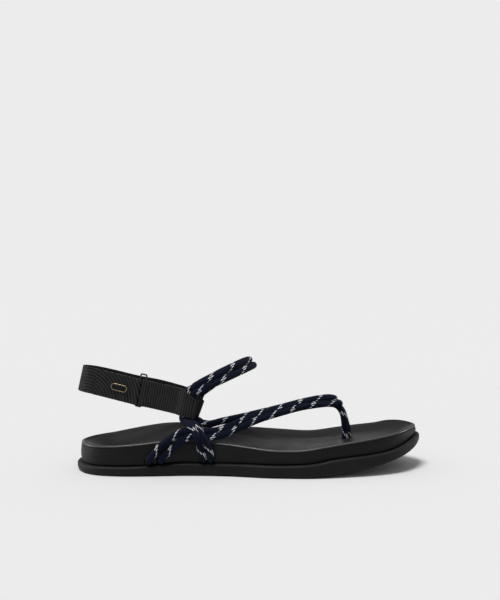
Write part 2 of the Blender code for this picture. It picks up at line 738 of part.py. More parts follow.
toe_lower_a = thinned(
    leaving(TOE_EXITS[1], -1, TOE_LEAN)
    + along_wall(((-0.231, 0.54, 0.0), (-0.212, 0.705, 0.0), (-0.187, 0.872, 0.08)), -1)
    + spots(TOE_LOWER_OUTER)
    + post(-1)
)
toe_lower_b = thinned(
    leaving(TOE_EXITS_IN[1], 1, TOE_LEAN)
    + along_wall(((-0.205, 0.48, 0.0), (-0.176, 0.66, 0.0), (-0.146, 0.82, 0.08)), 1)
    + spots(TOE_LOWER_INNER)[::-1]
    + post(1)
)
rear_sleeves = in_sleeve(sleeve_out, -half_pair, 1) + in_sleeve(sleeve_in, half_pair, -1)
ankle_rear = thinned(
    leaving(ANKLE_EXITS[0], -1)
    + along_wall(((-0.1345, 0.60, 0.0),), -1)
    + spots(ANKLE_REAR_OUTER)
    + rear_sleeves[:3]
    + spots(LOOP_REAR)
    + rear_sleeves[3:]
    + spots(ANKLE_REAR_INNER)
    + along_wall(((-0.156, 0.52, 0.12),), 1)
    + leaving(ANKLE_EXITS_IN[0], 1)[::-1],
    rear_sleeves,
)
front_sleeves = in_sleeve(sleeve_out, half_pair, 1) + in_sleeve(sleeve_in, -half_pair, -1)
ankle_front = thinned(
    leaving(ANKLE_EXITS[1], -1)
    + along_wall(((-0.1100, 0.55, 0.0),), -1)
    + spots(ANKLE_FRONT_OUTER)
    + front_sleeves[:3]
    + spots(LOOP_FRONT)
    + front_sleeves[3:]
    + spots(ANKLE_FRONT_INNER)
    + along_wall(((-0.137, 0.52, 0.12),), 1)
    + leaving(ANKLE_EXITS_IN[1], 1)[::-1],
    front_sleeves,
)
wrap_x, wrap_y, wrap_z = spots((WRAP_MIDDLE,))[0]
wrap = [
    (wrap_x - WRAP_DIAMETER * bow, wrap_y + WRAP_DIAMETER * off, wrap_z)
    for off, bow in ((-0.85, 0.30), (-0.45, 0.07), (0.0, 0.0), (0.45, 0.07), (0.85, 0.30))
]
rope_upper = tube("rope_upper", toe_upper, CORD_DIAMETER)


def helper(made):
    """Hides a cutter or a guide and moves it out of the sandal's collection."""
    if made.name in sandal.objects:
        sandal.objects.unlink(made)
    cutters.objects.link(made)
    made.hide_render = True
    made.display_type = "WIRE"
    return made


def boolean(target, operation, other):
    change = target.modifiers.new(other.name, "BOOLEAN")
    change.operation = operation
    change.object = other
    change.use_self = operation == "UNION"


for label, route, thickness in (
    ("toe_outer", toe_lower_a, CORD_DIAMETER),
    ("toe_inner", toe_lower_b, CORD_DIAMETER),
    ("ankle_rear", ankle_rear, CORD_DIAMETER),
    ("ankle_front", ankle_front, CORD_DIAMETER),
    ("post_wrap", wrap, WRAP_DIAMETER),
):
    boolean(rope_upper, "UNION", helper(tube(label, route, thickness)))


# Slots in the midsole where the cords go in, and the hole for the post
def block(name, low, high):
    """A box cutter between two corners."""
    bm = bmesh.new()
    bmesh.ops.create_cube(bm, size=1.0)
    middle, size = (Vector(low) + Vector(high)) / 2, Vector(high) - Vector(low)
    for v in bm.verts:
        v.co = Vector((v.co.x * size.x, v.co.y * size.y, v.co.z * size.z)) + middle
    mesh = bpy.data.meshes.new(name)
    bm.to_mesh(mesh)
    bm.free()
    made = bpy.data.objects.new(name, mesh)
    return helper(made)


for label, exits, side in (
    ("slot_toe_outer", TOE_EXITS, -1),
    ("slot_ankle_outer", ANKLE_EXITS, -1),
    ("slot_toe_inner", TOE_EXITS_IN, 1),
    ("slot_ankle_inner", ANKLE_EXITS_IN, 1),
):
    for x in (along * SOLE_LENGTH for along in exits):
        reach = CORD_R + 1.5 * GAP
        wall, top = wall_y(x, side), tread_top(x, side)
        low_y, high_y = sorted((wall - side * SLOT_DEPTH, wall + side * CORD_DIAMETER))
        low, high = (x - reach, low_y, top - CORD_R), (x + reach, high_y, top + CORD_DIAMETER + 2 * GAP)
        boolean(midsole, "DIFFERENCE", block(label, low, high))

reach = CORD_R + 2 * GAP
hole = []
for end in (1, -1):
    for k in range(7):
        a = POST_TURN + (0 if end > 0 else math.pi) + math.pi * (k / 6 - 0.5)
        center = Vector((math.cos(POST_TURN), math.sin(POST_TURN))) * end * half_pair
        hole.append((foot_x + center.x + reach * math.cos(a), foot_y + center.y + reach * math.sin(a)))
floor_of_hole = foot_z - POST_DEPTH - 2 * GAP
bm = bmesh.new()
base = bm.faces.new([bm.verts.new((x, y, floor_of_hole)) for x, y in hole])
grown = bmesh.ops.extrude_face_region(bm, geom=[base])
for v in [g for g in grown["geom"] if isinstance(g, bmesh.types.BMVert)]:
    v.co.z += POST_DEPTH + CORD_DIAMETER
bmesh.ops.recalc_face_normals(bm, faces=bm.faces)
mesh = bpy.data.meshes.new("post_hole")
bm.to_mesh(mesh)
bm.free()
post_hole = helper(bpy.data.objects.new("post_hole", mesh))
boolean(midsole, "DIFFERENCE", post_hole)
boolean(insole, "DIFFERENCE", post_hole)

# Ring: a thin wire rectangle whose two upright bars lie in the folds of the straps
low = -STRAP_WIDTH / 2 - RING_WIRE / 2 - GAP
high = STRAP_WIDTH / 2 + RING_RISE
corner = RING_WIRE
track = []
for s, level, inward in (
    (ring_left, low, 1),
    (ring_left, high, 1),
    (ring_right, high, -1),
    (ring_right, low, -1),
):
    point, out, wide = on_strap(s)
    turned = on_strap(s + inward * corner)
    near = point + out * BETWEEN + wide * (level - math.copysign(corner, level))
    bent = turned[0] + turned[1] * BETWEEN + turned[2] * level
    half = (point + out * BETWEEN + wide * level) * 0.35 + (near + bent) * 0.325
    rows = [near, half, bent]
    track += rows if (level > 0) == (inward > 0) else rows[::-1]
data = bpy.data.curves.new("strap_ring", "CURVE")
data.dimensions = "3D"
data.bevel_depth = RING_WIRE / 2
data.bevel_resolution = 2
wire = data.splines.new("POLY")
wire.points.add(len(track) - 1)
for spot, p in zip(wire.points, track):
    spot.co = (*p, 1)
wire.use_cyclic_u = True
data.materials.append(WIRE)
strap_ring = bpy.data.objects.new("strap_ring", data)
sandal.objects.link(strap_ring)

# Plate: a blank rounded plate on the tab, bent with the webbing
plate_center = STRAP_END - PLATE_OUT * SOLE_LENGTH
verts, faces = [], []
steps = 12
for k in range(steps + 1):
    u = -math.cos(math.pi * k / steps)
    along = plate_center + u * PLATE_LENGTH / 2
    reach = max(abs(u) * PLATE_LENGTH / 2 - (PLATE_LENGTH - PLATE_WIDTH) / 2, 0.0) / (PLATE_WIDTH / 2)
    half = PLATE_WIDTH / 2 * max(math.sqrt(max(1 - reach * reach, 0.0)), 0.18)
    point, out, wide = on_strap(along)
    face = STRAP_THICKNESS / 2 + GAP
    for off in (face + PLATE_THICKNESS, face):
        verts.append(point + out * off + wide * half)
        verts.append(point + out * off - wide * half)
for i in range(steps):
    a, b = 4 * i, 4 * i + 4
    for p, q in ((0, 1), (1, 3), (3, 2), (2, 0)):
        faces.append((a + p, a + q, b + q, b + p))
faces.append((0, 1, 3, 2))
faces.append((4 * steps, 4 * steps + 2, 4 * steps + 3, 4 * steps + 1))
strap_plate = link("strap_plate", verts, faces, PLATE)
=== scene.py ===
"""Rope sandal for the right foot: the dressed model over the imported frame.

Metres, +Z up. The toe points to +X and the outer side of the foot to -Y.
The origin lies on the ground, midway along the sole and midway across the ball.
"""

import math

import bmesh
import bpy
import numpy as np
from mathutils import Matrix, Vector


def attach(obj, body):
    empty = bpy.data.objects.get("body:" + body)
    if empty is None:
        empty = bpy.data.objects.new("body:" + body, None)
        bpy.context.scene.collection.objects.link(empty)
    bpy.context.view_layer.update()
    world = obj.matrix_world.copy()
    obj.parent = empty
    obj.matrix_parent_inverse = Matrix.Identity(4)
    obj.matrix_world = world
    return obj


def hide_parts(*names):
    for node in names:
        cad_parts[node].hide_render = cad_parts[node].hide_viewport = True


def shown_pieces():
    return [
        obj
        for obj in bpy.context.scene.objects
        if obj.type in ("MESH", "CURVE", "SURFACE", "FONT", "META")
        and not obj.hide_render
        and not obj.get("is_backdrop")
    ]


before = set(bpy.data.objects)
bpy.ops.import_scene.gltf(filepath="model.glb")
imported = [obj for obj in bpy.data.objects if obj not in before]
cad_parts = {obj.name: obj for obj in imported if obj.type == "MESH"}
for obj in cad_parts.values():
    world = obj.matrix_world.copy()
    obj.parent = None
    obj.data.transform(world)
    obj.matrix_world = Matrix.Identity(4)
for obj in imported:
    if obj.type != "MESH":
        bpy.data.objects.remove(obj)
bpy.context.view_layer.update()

# Sole
SOLE_LENGTH = 0.261
BALL_WIDTH = 0.087
RIM_HEIGHT = 0.0298
TREAD_THICKNESS = 0.0090
TOE_SPRING = 0.0186
FLANGE = 0.0030
TREAD_TOP_ROUND = 0.0020
TREAD_BOTTOM_ROUND = 0.0029
WALL_BULGE = 0.0005
EDGE_ROUND = 0.0008
SEAM_ROUND = 0.0002

# Footbed
LIP_HEIGHT = 0.0020
LIP_ROUND = 0.0014
FOOTBED_THICKNESS = 0.0028
CUP_DEPTH = 0.0068
CUP_RUN = 0.0240
DISH = 0.0021
LIP_ROLL = 0.0008
LIP_ROLL_RUN = 0.0024

# Cords
CORD_DIAMETER = 0.0052
CORD_SPACING = 0.0047
INSTEP_HEIGHT = 0.0800
SLOT_DEPTH = 0.0062
SLOT_END = 0.0010
POST_SHARE = 0.60
POST_STRAIGHT = 0.0020
POST_BOW = 0.0008
WRAP_DIAMETER = 0.0054

# Heel strap
STRAP_WIDTH = 0.0194
STRAP_THICKNESS = 0.0012
STRAP_LEAN = 0.21
SLEEVE_CUT = 0.55
RETURN_LENGTH = 0.0120
BLEND = 0.0070
DIVE = 0.0140
TAB_CLEARANCE = 0.0020
STRAP_STEP = 0.0060
RING_WIRE = 0.0012
RING_SPAN = 0.0046
RING_RISE = 0.0040
SLEEVE_SLACK = 0.0007
SLEEVE_RUN_OUT = 0.0019
PLATE_LENGTH = 0.0126
PLATE_WIDTH = 0.0052
PLATE_THICKNESS = 0.0009
PLATE_SIDES = 96
# Rows of the plate from its edge inward: inset in millimetres, share of its thickness
PLATE_RIM_ROWS = ((0.0, 0.0), (0.0, 0.75), (0.10, 0.95), (0.22, 1.0), (0.40, 0.97))
PLATE_FIELD_ROWS = ((0.50, 0.60), (0.62, 0.52), (1.60, 0.50))

# Gap between pieces that touch
GAP = 0.0003

# Fineness of the skins
OUTLINE_HALF = 150
CAP_STEPS = 40
CAP_INSET = 0.03
WALL_ROWS = 9
SPAN_STEPS = 12
SHARP_ANGLE = 38

HALF_BALL = BALL_WIDTH / 2
CORD_R = CORD_DIAMETER / 2

# Looks. A pair of colours runs from dark to light.
RUBBER_COLORS = ((0.0045, 0.0045, 0.0048), (0.0080, 0.0080, 0.0083))
FOAM_COLORS = ((0.0035, 0.0035, 0.0038), (0.0055, 0.0055, 0.0058))
LINING_COLORS = ((0.0050, 0.0050, 0.0053), (0.0070, 0.0070, 0.0074))
# Lighter colour for the footbed lip's upward faces: a painted highlight
LIP_HIGHLIGHT_COLORS = ((0.012, 0.012, 0.012), (0.022, 0.022, 0.022))
WIRE_COLORS = ((0.012, 0.012, 0.012), (0.030, 0.030, 0.030))
PLATE_COLORS = ((0.004, 0.004, 0.004), (0.010, 0.010, 0.010))
PLATE_RIM_COLORS = ((0.30, 0.22, 0.15), (0.44, 0.34, 0.24))
WEBBING_COLORS = ((0.0210, 0.0210, 0.0212), (0.0300, 0.0300, 0.0302))
# Near-black painted shade in the grooves between the webbing's ribs
WEBBING_GROOVE_SHADE = (0.0006, 0.0006, 0.0006)
NAVY = (0.0022, 0.0052, 0.0180)
# Navy at a strand's edges, where it dips under its neighbours: painted shade
NAVY_EDGE_SHADE = (0.0008, 0.0014, 0.0050)
NAVY_WORN = (0.0036, 0.0078, 0.0250)
FLECK = (0.82, 0.83, 0.86)
# Fleck colour at a strand's edges: painted shade
FLECK_EDGE_SHADE = (0.45, 0.46, 0.52)
TREAD_PITCH = 0.0055
TREAD_DEPTH = 0.0006

# Braid
STRANDS = 22
BRAID_LEAD = 0.044
ANKLE_LEAD = 0.0497
FLECK_LEAD = 0.01655
ROW_RATIO = BRAID_LEAD / FLECK_LEAD
CORD_SIDES = 80
ROUTE_STEPS = 16
CORD_GRAIN = 0.00050
CORE_SHARE = 0.93
RIDGE = 0.00026
FLECK_WIDTH = 0.150
TOE_UPPER_TURN = -0.153
TOE_OUTER_TURN = -0.156
TOE_INNER_TURN = 0.0
ANKLE_REAR_TURN = -0.049
ANKLE_FRONT_TURN = -0.102

# Webbing
WEB_GRAIN = 0.00024
WEB_COLUMNS = 16
RIB_DEPTH = 0.00022
FOLD_REACH = 0.00040
FRONT_RIB = 0.0018
TAB_RIB = 0.0023
TAB_CENTER = (-0.006, -0.008)
TAB_RINGS_FROM = 0.0120

# Studio
BACKDROP = 0.84
SKY_LIGHT = 0.36
FLOOR_SHADE = 0.834
FLOOR_SPAN = 300.0
KEY_STRENGTH = 2.22
KEY_SPREAD = 22.0
KEY_FROM = (-0.25, -0.35, 1.0)
# Softboxes that light the sandal alone: place, aim, width, height, watts
SOFTBOXES = (
    ((-0.15, 1.20, 0.22), (0.0, 0.0, 0.02), 1.2, 0.20, 0.6),
    ((0.00, 0.15, 0.90), (0.00, 0.0, 0.02), 1.2, 0.16, 5.0),
    ((-1.10, 0.15, 0.35), (-0.12, 0.0, 0.02), 0.5, 0.5, 5.5),
    ((1.10, 0.20, 0.35), (0.12, 0.0, 0.02), 0.4, 0.4, 3.2),
)
CAMERA_AT = (0.0, -0.580, 0.127)
CAMERA_LENS = 45.24

# Sole sections from heel to toe: share of SOLE_LENGTH from the middle, outer and inner half widths as
# shares of HALF_BALL, outer and inner rim as shares of RIM_HEIGHT, and then the shares of
# TREAD_THICKNESS, TOE_SPRING and CUP_DEPTH
SOLE_SECTIONS = (
    (-0.490, -0.110, -0.110, 0.640, 0.640, 0.72, 0.0, 0.95),
    (-0.475, -0.430, 0.230, 0.642, 0.640, 0.72, 0.0, 0.95),
    (-0.450, -0.640, 0.450, 0.640, 0.640, 0.72, 0.0, 0.95),
    (-0.415, -0.765, 0.560, 0.645, 0.665, 0.73, 0.0, 0.95),
    (-0.360, -0.830, 0.605, 0.672, 0.750, 0.76, 0.0, 0.95),
    (-0.303, -0.832, 0.605, 0.715, 0.840, 0.81, 0.0, 0.92),
    (-0.249, -0.808, 0.580, 0.768, 0.905, 0.91, 0.0, 0.86),
    (-0.192, -0.784, 0.556, 0.799, 0.905, 1.02, 0.0, 0.78),
    (-0.153, -0.782, 0.552, 0.799, 0.815, 1.00, 0.0, 0.68),
    (-0.111, -0.793, 0.556, 0.752, 0.755, 0.99, 0.0, 0.56),
    (-0.054, -0.828, 0.600, 0.701, 0.765, 0.99, 0.0, 0.46),
    (0.000, -0.897, 0.712, 0.651, 0.755, 1.01, 0.0, 0.38),
    (0.054, -0.966, 0.874, 0.604, 0.690, 1.00, 0.0, 0.32),
    (0.107, -0.989, 0.954, 0.594, 0.640, 1.02, 0.0, 0.28),
    (0.153, -1.000, 0.990, 0.615, 0.604, 1.08, 0.0, 0.26),
    (0.192, -0.985, 1.000, 0.665, 0.597, 1.22, 0.03, 0.26),
    (0.218, -0.966, 1.000, 0.698, 0.617, 1.39, 0.07, 0.27),
    (0.276, -0.905, 0.985, 0.768, 0.695, 1.57, 0.185, 0.28),
    (0.333, -0.825, 0.945, 0.829, 0.770, 1.70, 0.30, 0.30),
    (0.392, -0.690, 0.860, 0.900, 0.850, 1.93, 0.50, 0.32),
    (0.425, -0.555, 0.760, 0.946, 0.930, 2.20, 0.62, 0.34),
    (0.460, -0.310, 0.555, 0.980, 0.980, 2.52, 0.78, 0.36),
    (0.482, -0.050, 0.340, 0.982, 0.985, 2.70, 0.90, 0.36),
    (0.491, 0.140, 0.140, 0.980, 0.980, 2.76, 0.98, 0.36),
)

# Rows of the path tables below: share of SOLE_LENGTH from the middle, of HALF_BALL and of INSTEP_HEIGHT
PATH_SIZES = (SOLE_LENGTH, HALF_BALL, INSTEP_HEIGHT)

# Where the cords leave the sole: share of SOLE_LENGTH from the middle
TOE_EXITS = (-0.281, -0.2475)
ANKLE_EXITS = (-0.1295, -0.1090)
TOE_EXITS_IN = (-0.252, -0.219)
ANKLE_EXITS_IN = (-0.1510, -0.1310)
TOE_LEAN = 0.5

# The toe cords between the rims
TOE_UPPER_OUTER = (
    (-0.193, -0.842, 0.390),
    (-0.166, -0.822, 0.410),
    (-0.125, -0.765, 0.394),
    (-0.084, -0.670, 0.403),
    (-0.028, -0.540, 0.463),
    (0.029, -0.398, 0.526),
    (0.087, -0.260, 0.571),
    (0.146, -0.115, 0.611),
    (0.203, 0.005, 0.640),
    (0.236, 0.092, 0.643),
)
TOE_UPPER_APEX = (0.2525, 0.190, 0.626)
TOE_UPPER_INNER = (
    (0.236, 0.288, 0.622),
    (0.203, 0.348, 0.606),
    (0.146, 0.385, 0.568),
    (0.087, 0.425, 0.517),
    (0.029, 0.465, 0.468),
    (-0.031, 0.510, 0.419),
    (-0.084, 0.550, 0.379),
    (-0.122, 0.592, 0.346),
)
TOE_LOWER_OUTER = (
    (-0.160, -0.868, 0.366),
    (-0.125, -0.830, 0.344),
    (-0.084, -0.728, 0.356),
    (-0.028, -0.600, 0.418),
    (0.029, -0.460, 0.484),
    (0.087, -0.322, 0.530),
    (0.146, -0.178, 0.569),
    (0.203, -0.055, 0.589),
    (0.235, 0.050, 0.588),
    (0.258, 0.125, 0.568),
)
TOE_LOWER_INNER = (
    (0.258, 0.265, 0.568),
    (0.235, 0.345, 0.578),
    (0.203, 0.425, 0.570),
    (0.146, 0.484, 0.542),
    (0.087, 0.526, 0.497),
    (0.029, 0.568, 0.450),
    (-0.031, 0.613, 0.402),
    (-0.084, 0.652, 0.366),
    (-0.115, 0.680, 0.338),
)
POST_TOP = (0.2750, 0.190, 0.505)
POST_FOOT = (0.2890, 0.198, 0.0)
POST_TURN = math.radians(53)
WRAP_MIDDLE = (0.2670, 0.190, 0.580)

# The ankle cords over the crossing and over the instep
ANKLE_REAR_OUTER = (
    (-0.1395, -0.905, 0.304),
    (-0.1445, -0.944, 0.355),
    (-0.1510, -0.906, 0.403),
    (-0.1640, -0.852, 0.457),
)
ANKLE_FRONT_OUTER = (
    (-0.1165, -0.897, 0.283),
    (-0.1270, -0.935, 0.345),
    (-0.1375, -0.893, 0.400),
    (-0.1500, -0.838, 0.453),
)
LOOP_REAR = (
    (-0.141, -0.595, 0.824),
    (-0.100, -0.490, 0.889),
    (-0.057, -0.335, 0.949),
    (-0.022, -0.165, 0.995),
    (-0.0025, 0.035, 1.013),
    (-0.020, 0.245, 0.988),
    (-0.058, 0.375, 0.926),
    (-0.101, 0.495, 0.852),
    (-0.143, 0.605, 0.758),
)
LOOP_FRONT = (
    (-0.128, -0.610, 0.781),
    (-0.085, -0.507, 0.838),
    (-0.042, -0.355, 0.896),
    (-0.006, -0.180, 0.943),
    (0.0105, 0.035, 0.960),
    (-0.006, 0.260, 0.940),
    (-0.044, 0.395, 0.886),
    (-0.086, 0.520, 0.808),
    (-0.122, 0.625, 0.712),
)
ANKLE_REAR_INNER = ((-0.172, 0.715, 0.357), (-0.163, 0.745, 0.290))
ANKLE_FRONT_INNER = ((-0.153, 0.730, 0.354), (-0.1445, 0.760, 0.290))

# Middle line of the heel strap's outer face layer, from the inner side round the heel to the outer side
STRAP_PATH = (
    (-0.134, 0.715, 0.506),
    (-0.175, 0.660, 0.562),
    (-0.217, 0.585, 0.612),
    (-0.283, 0.465, 0.679),
    (-0.347, 0.350, 0.727),
    (-0.420, 0.272, 0.790),
    (-0.470, 0.150, 0.832),
    (-0.4935, -0.070, 0.850),
    (-0.473, -0.290, 0.840),
    (-0.428, -0.385, 0.814),
    (-0.383, -0.440, 0.782),
    (-0.322, -0.500, 0.738),
    (-0.290, -0.527, 0.718),
    (-0.240, -0.575, 0.686),
    (-0.178, -0.655, 0.645),
    (-0.130, -0.705, 0.616),
)
# Distances along that line, from its ends, as shares of SOLE_LENGTH
SLEEVE_IN = 0.040
SLEEVE_OUT = 0.044
RING_OUT = 0.196
TAB_END = 0.325
HEEL_MIDDLE = (-0.35, -0.04)
PLATE_OUT = 0.250


def span(a, b, c, d, t1, t2, t3, steps):
    """Points of one span of a centripetal spline, from b up to c."""
    found = []
    for k in range(steps):
        t = t1 + (t2 - t1) * k / steps
        p = a * (t1 - t) / t1 + b * t / t1
        q = b * (t2 - t) / (t2 - t1) + c * (t - t1) / (t2 - t1)
        r = c * (t3 - t) / (t3 - t2) + d * (t - t2) / (t3 - t2)
        u = p * (t2 - t) / t2 + q * t / t2
        v = q * (t3 - t) / (t3 - t1) + r * (t - t1) / (t3 - t1)
        found.append(u * (t2 - t) / (t2 - t1) + v * (t - t1) / (t2 - t1))
    return found


def spline(points, steps, closed=False):
    """Points on a centripetal spline through the given rows, with the given steps in each span."""
    rows = [np.array(row, float) for row in points]
    if closed:
        rows = [rows[-1]] + rows + rows[:2]
    else:
        rows = [2 * rows[0] - rows[1]] + rows + [2 * rows[-1] - rows[-2]]
    found = []
    for a, b, c, d in zip(rows, rows[1:], rows[2:], rows[3:]):
        t1 = max(np.linalg.norm((b - a)[:2]), 1e-6) ** 0.5
        t2 = t1 + max(np.linalg.norm((c - b)[:2]), 1e-6) ** 0.5
        t3 = t2 + max(np.linalg.norm((d - c)[:2]), 1e-6) ** 0.5
        found += span(a, b, c, d, t1, t2, t3, steps)
    if not closed:
        found.append(rows[-2])
    return np.array(found)


def unit(rows):
    return rows / np.linalg.norm(rows, axis=1)[:, None]


def run_of(line):
    """Distance along a line at each of its rows."""
    return np.concatenate([[0], np.cumsum(np.linalg.norm(np.diff(line, axis=0), axis=1))])


def even(line, count, dims=2):
    """The same line as count + 1 rows at even distances, measured over its first dims columns."""
    run = run_of(line[:, :dims])
    at = np.linspace(0, run[-1], count + 1)
    return np.stack([np.interp(at, run, line[:, c]) for c in range(line.shape[1])], axis=1)


def smoothed(line, rounds):
    """The line eased between its neighbours, so that no row shows."""
    for _ in range(rounds):
        line[1:-1] = (line[:-2] + 2 * line[1:-1] + line[2:]) / 4
    return line


def arc(start, stop, steps):
    return [math.radians(start + (stop - start) * k / steps) for k in range(steps + 1)]


def swing(k, steps):
    """A slow start and a slow end from 0 to 1 over the given steps."""
    return 0.5 - 0.5 * math.cos(math.pi * k / steps)


# Sole outline
# Columns of a row below: x, y, rim height, tread top, underside, cup depth
def sole_row(section, side):
    along, outer, inner, rim_out, rim_in, top, bottom, dish = section
    across, rim = (outer, rim_out) if side < 0 else (inner, rim_in)
    sole = (along * SOLE_LENGTH, across * HALF_BALL, rim * RIM_HEIGHT)
    return sole + (top * TREAD_THICKNESS, bottom * TOE_SPRING, dish * CUP_DEPTH)


outer_rows = [sole_row(section, -1) for section in SOLE_SECTIONS]
inner_rows = [sole_row(section, 1) for section in SOLE_SECTIONS]
loop = spline(outer_rows + inner_rows[-2:0:-1], SPAN_STEPS, closed=True)
turn = SPAN_STEPS * (len(outer_rows) - 1)
outer_line = even(loop[: turn + 1], OUTLINE_HALF)
inner_line = even(np.vstack([loop[turn:], loop[:1]]), OUTLINE_HALF)
outline = np.vstack([outer_line[:-1], inner_line[:-1]])
outline[:, 4] = np.maximum(outline[:, 4], 0)
ahead = np.roll(outline[:, :2], -1, axis=0) - np.roll(outline[:, :2], 1, axis=0)
outward = unit(np.stack([ahead[:, 1], -ahead[:, 0]], axis=1))
COUNT = len(outline)


def on_side(x, side, column):
    """A column of the outline at x, with side -1 for the outer side and 1 for the inner side."""
    line = outer_line if side < 0 else inner_line[::-1]
    return float(np.interp(x, line[:, 0], line[:, column]))


def wall_y(x, side):
    return on_side(x, side, 1)


def tread_top(x, side):
    return on_side(x, side, 3)


def ring_at(offset, heights):
    """One ring of points round the sole, offset outward from its outline."""
    flat = outline[:, :2] + outward * offset
    return np.column_stack([flat, heights])


def reach_inside(x, y):
    """Distance of points from the outline."""
    gaps = []
    for (x0, y0), (x1, y1) in zip(outline[:, :2], np.roll(outline[:, :2], -1, axis=0)):
        run = np.hypot(x1 - x0, y1 - y0)
        t = np.clip(((x - x0) * (x1 - x0) + (y - y0) * (y1 - y0)) / (run * run), 0, 1)
        gaps.append(np.hypot(x - x0 - t * (x1 - x0), y - y0 - t * (y1 - y0)))
    return np.min(gaps, axis=0)


def eased(share):
    share = np.clip(share, 0, 1)
    return share * share * (3 - 2 * share)


def cup(x, y, depth):
    """How far the footbed lies under its rim: a deep bowl at the heel, a shallow dish in front."""
    share = depth / CUP_DEPTH
    run = CUP_RUN * (0.40 + 0.60 * share)
    return (depth + DISH * (1 - share)) * eased(reach_inside(x, y) / run)


def rolled_cup(x, y, depth):
    """The cup with a rolled lip that stands a little over it."""
    return cup(x, y, depth) + LIP_ROLL * eased((reach_inside(x, y) - LIP_ROUND) / LIP_ROLL_RUN)


def under_footbed(x, y, depth):
    """How far the footbed's underside lies under the rim's groove."""
    return cup(x, y, depth) + (FOOTBED_THICKNESS - LIP_HEIGHT) * eased(reach_inside(x, y) / CUP_RUN)


def flat_cap(x, y, depth):
    return np.zeros_like(depth)


def placed(name, data):
    """An object in the scene from its data."""
    made = bpy.data.objects.new(name, data)
    bpy.context.scene.collection.objects.link(made)
    return made


def piece(made, slot, *nodes):
    """Stands the piece in for its CAD nodes, on the one body; the finish slot argument is not used."""
    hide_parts(*nodes)
    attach(made, "root")
    return made


def meshed(name, verts, faces, looks, sharp=SHARP_ANGLE, corners=None):
    """A smooth object from points and faces, with edges over the sharp angle left crisp."""
    mesh = bpy.data.meshes.new(name)
    mesh.from_pydata(verts, [], faces)
    if corners is not None:
        mesh.uv_layers.new(name="lay").data.foreach_set("uv", corners.astype(np.float32).ravel())
    for look in looks:
        mesh.materials.append(look)
    mesh.shade_smooth()
    if sharp:
        mesh.set_sharp_from_angle(angle=math.radians(sharp))
    return placed(name, mesh)


def fours(*corners):
    """Faces from four matching arrays of corner numbers."""
    return np.stack(corners, axis=-1).reshape(-1, 4).tolist()


def facing_out(made):
    """Turns every face of a closed piece outward."""
    bm = bmesh.new()
    bm.from_mesh(made.data)
    bmesh.ops.recalc_face_normals(bm, faces=bm.faces)
    bm.to_mesh(made.data)
    bm.free()
    return made


def cut(cutter, *targets):
    """Takes the cutter out of each target for good, and removes the cutter."""
    for target in targets:
        change = target.modifiers.new(cutter.name, "BOOLEAN")
        change.operation = "DIFFERENCE"
        change.object = cutter
        bpy.context.view_layer.update()
        graph = bpy.context.evaluated_depsgraph_get()
        mesh = bpy.data.meshes.new_from_object(target.evaluated_get(graph))
        target.modifiers.clear()
        target.data = mesh
    bpy.data.objects.remove(cutter, do_unlink=True)


def stacked(name, rings, bottom, top, look):
    """A closed skin from rings of points, closed underneath and on top by rows that run across the sole."""
    verts = [np.vstack(rings)]
    count = len(verts[0])
    faces = []
    for level in range(len(rings) - 1):
        low = level * COUNT + np.arange(COUNT)
        right = np.roll(low, -1)
        faces += fours(low, right, right + COUNT, low + COUNT)
    spread = np.arange(1, CAP_STEPS) / CAP_STEPS
    crowded = np.cos(math.pi * (CAP_INSET + (1 - 2 * CAP_INSET) * spread))
    share = 0.5 - 0.5 * crowded / math.cos(math.pi * CAP_INSET)
    one = np.arange(1, OUTLINE_HALF)
    two = COUNT - one
    for base, height in ((0, bottom), ((len(rings) - 1) * COUNT, top)):
        edge = verts[0][base : base + COUNT]
        inside = edge[one][:, None] * (1 - share)[:, None] + edge[two][:, None] * share[:, None]
        depth = outline[one, 5][:, None] * (1 - share) + outline[two, 5][:, None] * share
        inside[:, :, 2] -= height(inside[:, :, 0], inside[:, :, 1], depth)
        ids = count + np.arange(inside[:, :, 0].size).reshape(len(one), -1)
        count += ids.size
        verts.append(inside.reshape(-1, 3))
        rows = np.column_stack([base + one, ids, base + two])
        faces += fours(rows[:-1, :-1], rows[:-1, 1:], rows[1:, 1:], rows[1:, :-1])
        for tip, row in ((base, rows[0]), (base + OUTLINE_HALF, rows[-1])):
            faces += [(tip, int(a), int(b)) for a, b in zip(row, row[1:])]
    return facing_out(meshed(name, np.vstack(verts).tolist(), faces, [look]))


# Materials
def plug(tree, socket, value):
    if isinstance(value, bpy.types.NodeSocket):
        tree.links.new(value, socket)
    else:
        socket.default_value = value


def node(tree, kind, values=None, **settings):
    made = tree.nodes.new("ShaderNode" + kind)
    for key, value in settings.items():
        setattr(made, key, value)
    for key, value in (values or {}).items():
        plug(tree, made.inputs[key], value)
    return made


def worked(tree, operation, first, second=0.0):
    """One Math node's result."""
    return node(tree, "Math", {0: first, 1: second}, operation=operation).outputs[0]


def wave(tree, value, times):
    """A sine of the value, with the given number of waves in each unit."""
    return worked(tree, "SINE", worked(tree, "MULTIPLY", value, times * math.tau))


def blended(tree, share, low, high):
    """A colour between two, by the share."""
    made = node(tree, "Mix", data_type="RGBA")
    plug(tree, made.inputs[0], share)
    plug(tree, made.inputs[6], low if isinstance(low, bpy.types.NodeSocket) else (*low, 1))
    plug(tree, made.inputs[7], high if isinstance(high, bpy.types.NodeSocket) else (*high, 1))
    return made.outputs[2]


def spread_over(tree, value, low, high, from_low=0.3, from_high=0.7):
    """The value fitted from one range to another."""
    sizes = {"Value": value, "From Min": from_low, "From Max": from_high, "To Min": low, "To Max": high}
    return node(tree, "MapRange", sizes).outputs[0]


def noise(tree, place, scale, detail=2.0):
    return node(tree, "TexNoise", {"Vector": place, "Scale": scale, "Detail": detail}).outputs[0]


def varied(tree, place, scale, detail, low=0.0, high=1.0):
    """A noise fitted between two values."""
    return spread_over(tree, noise(tree, place, scale, detail), low, high)


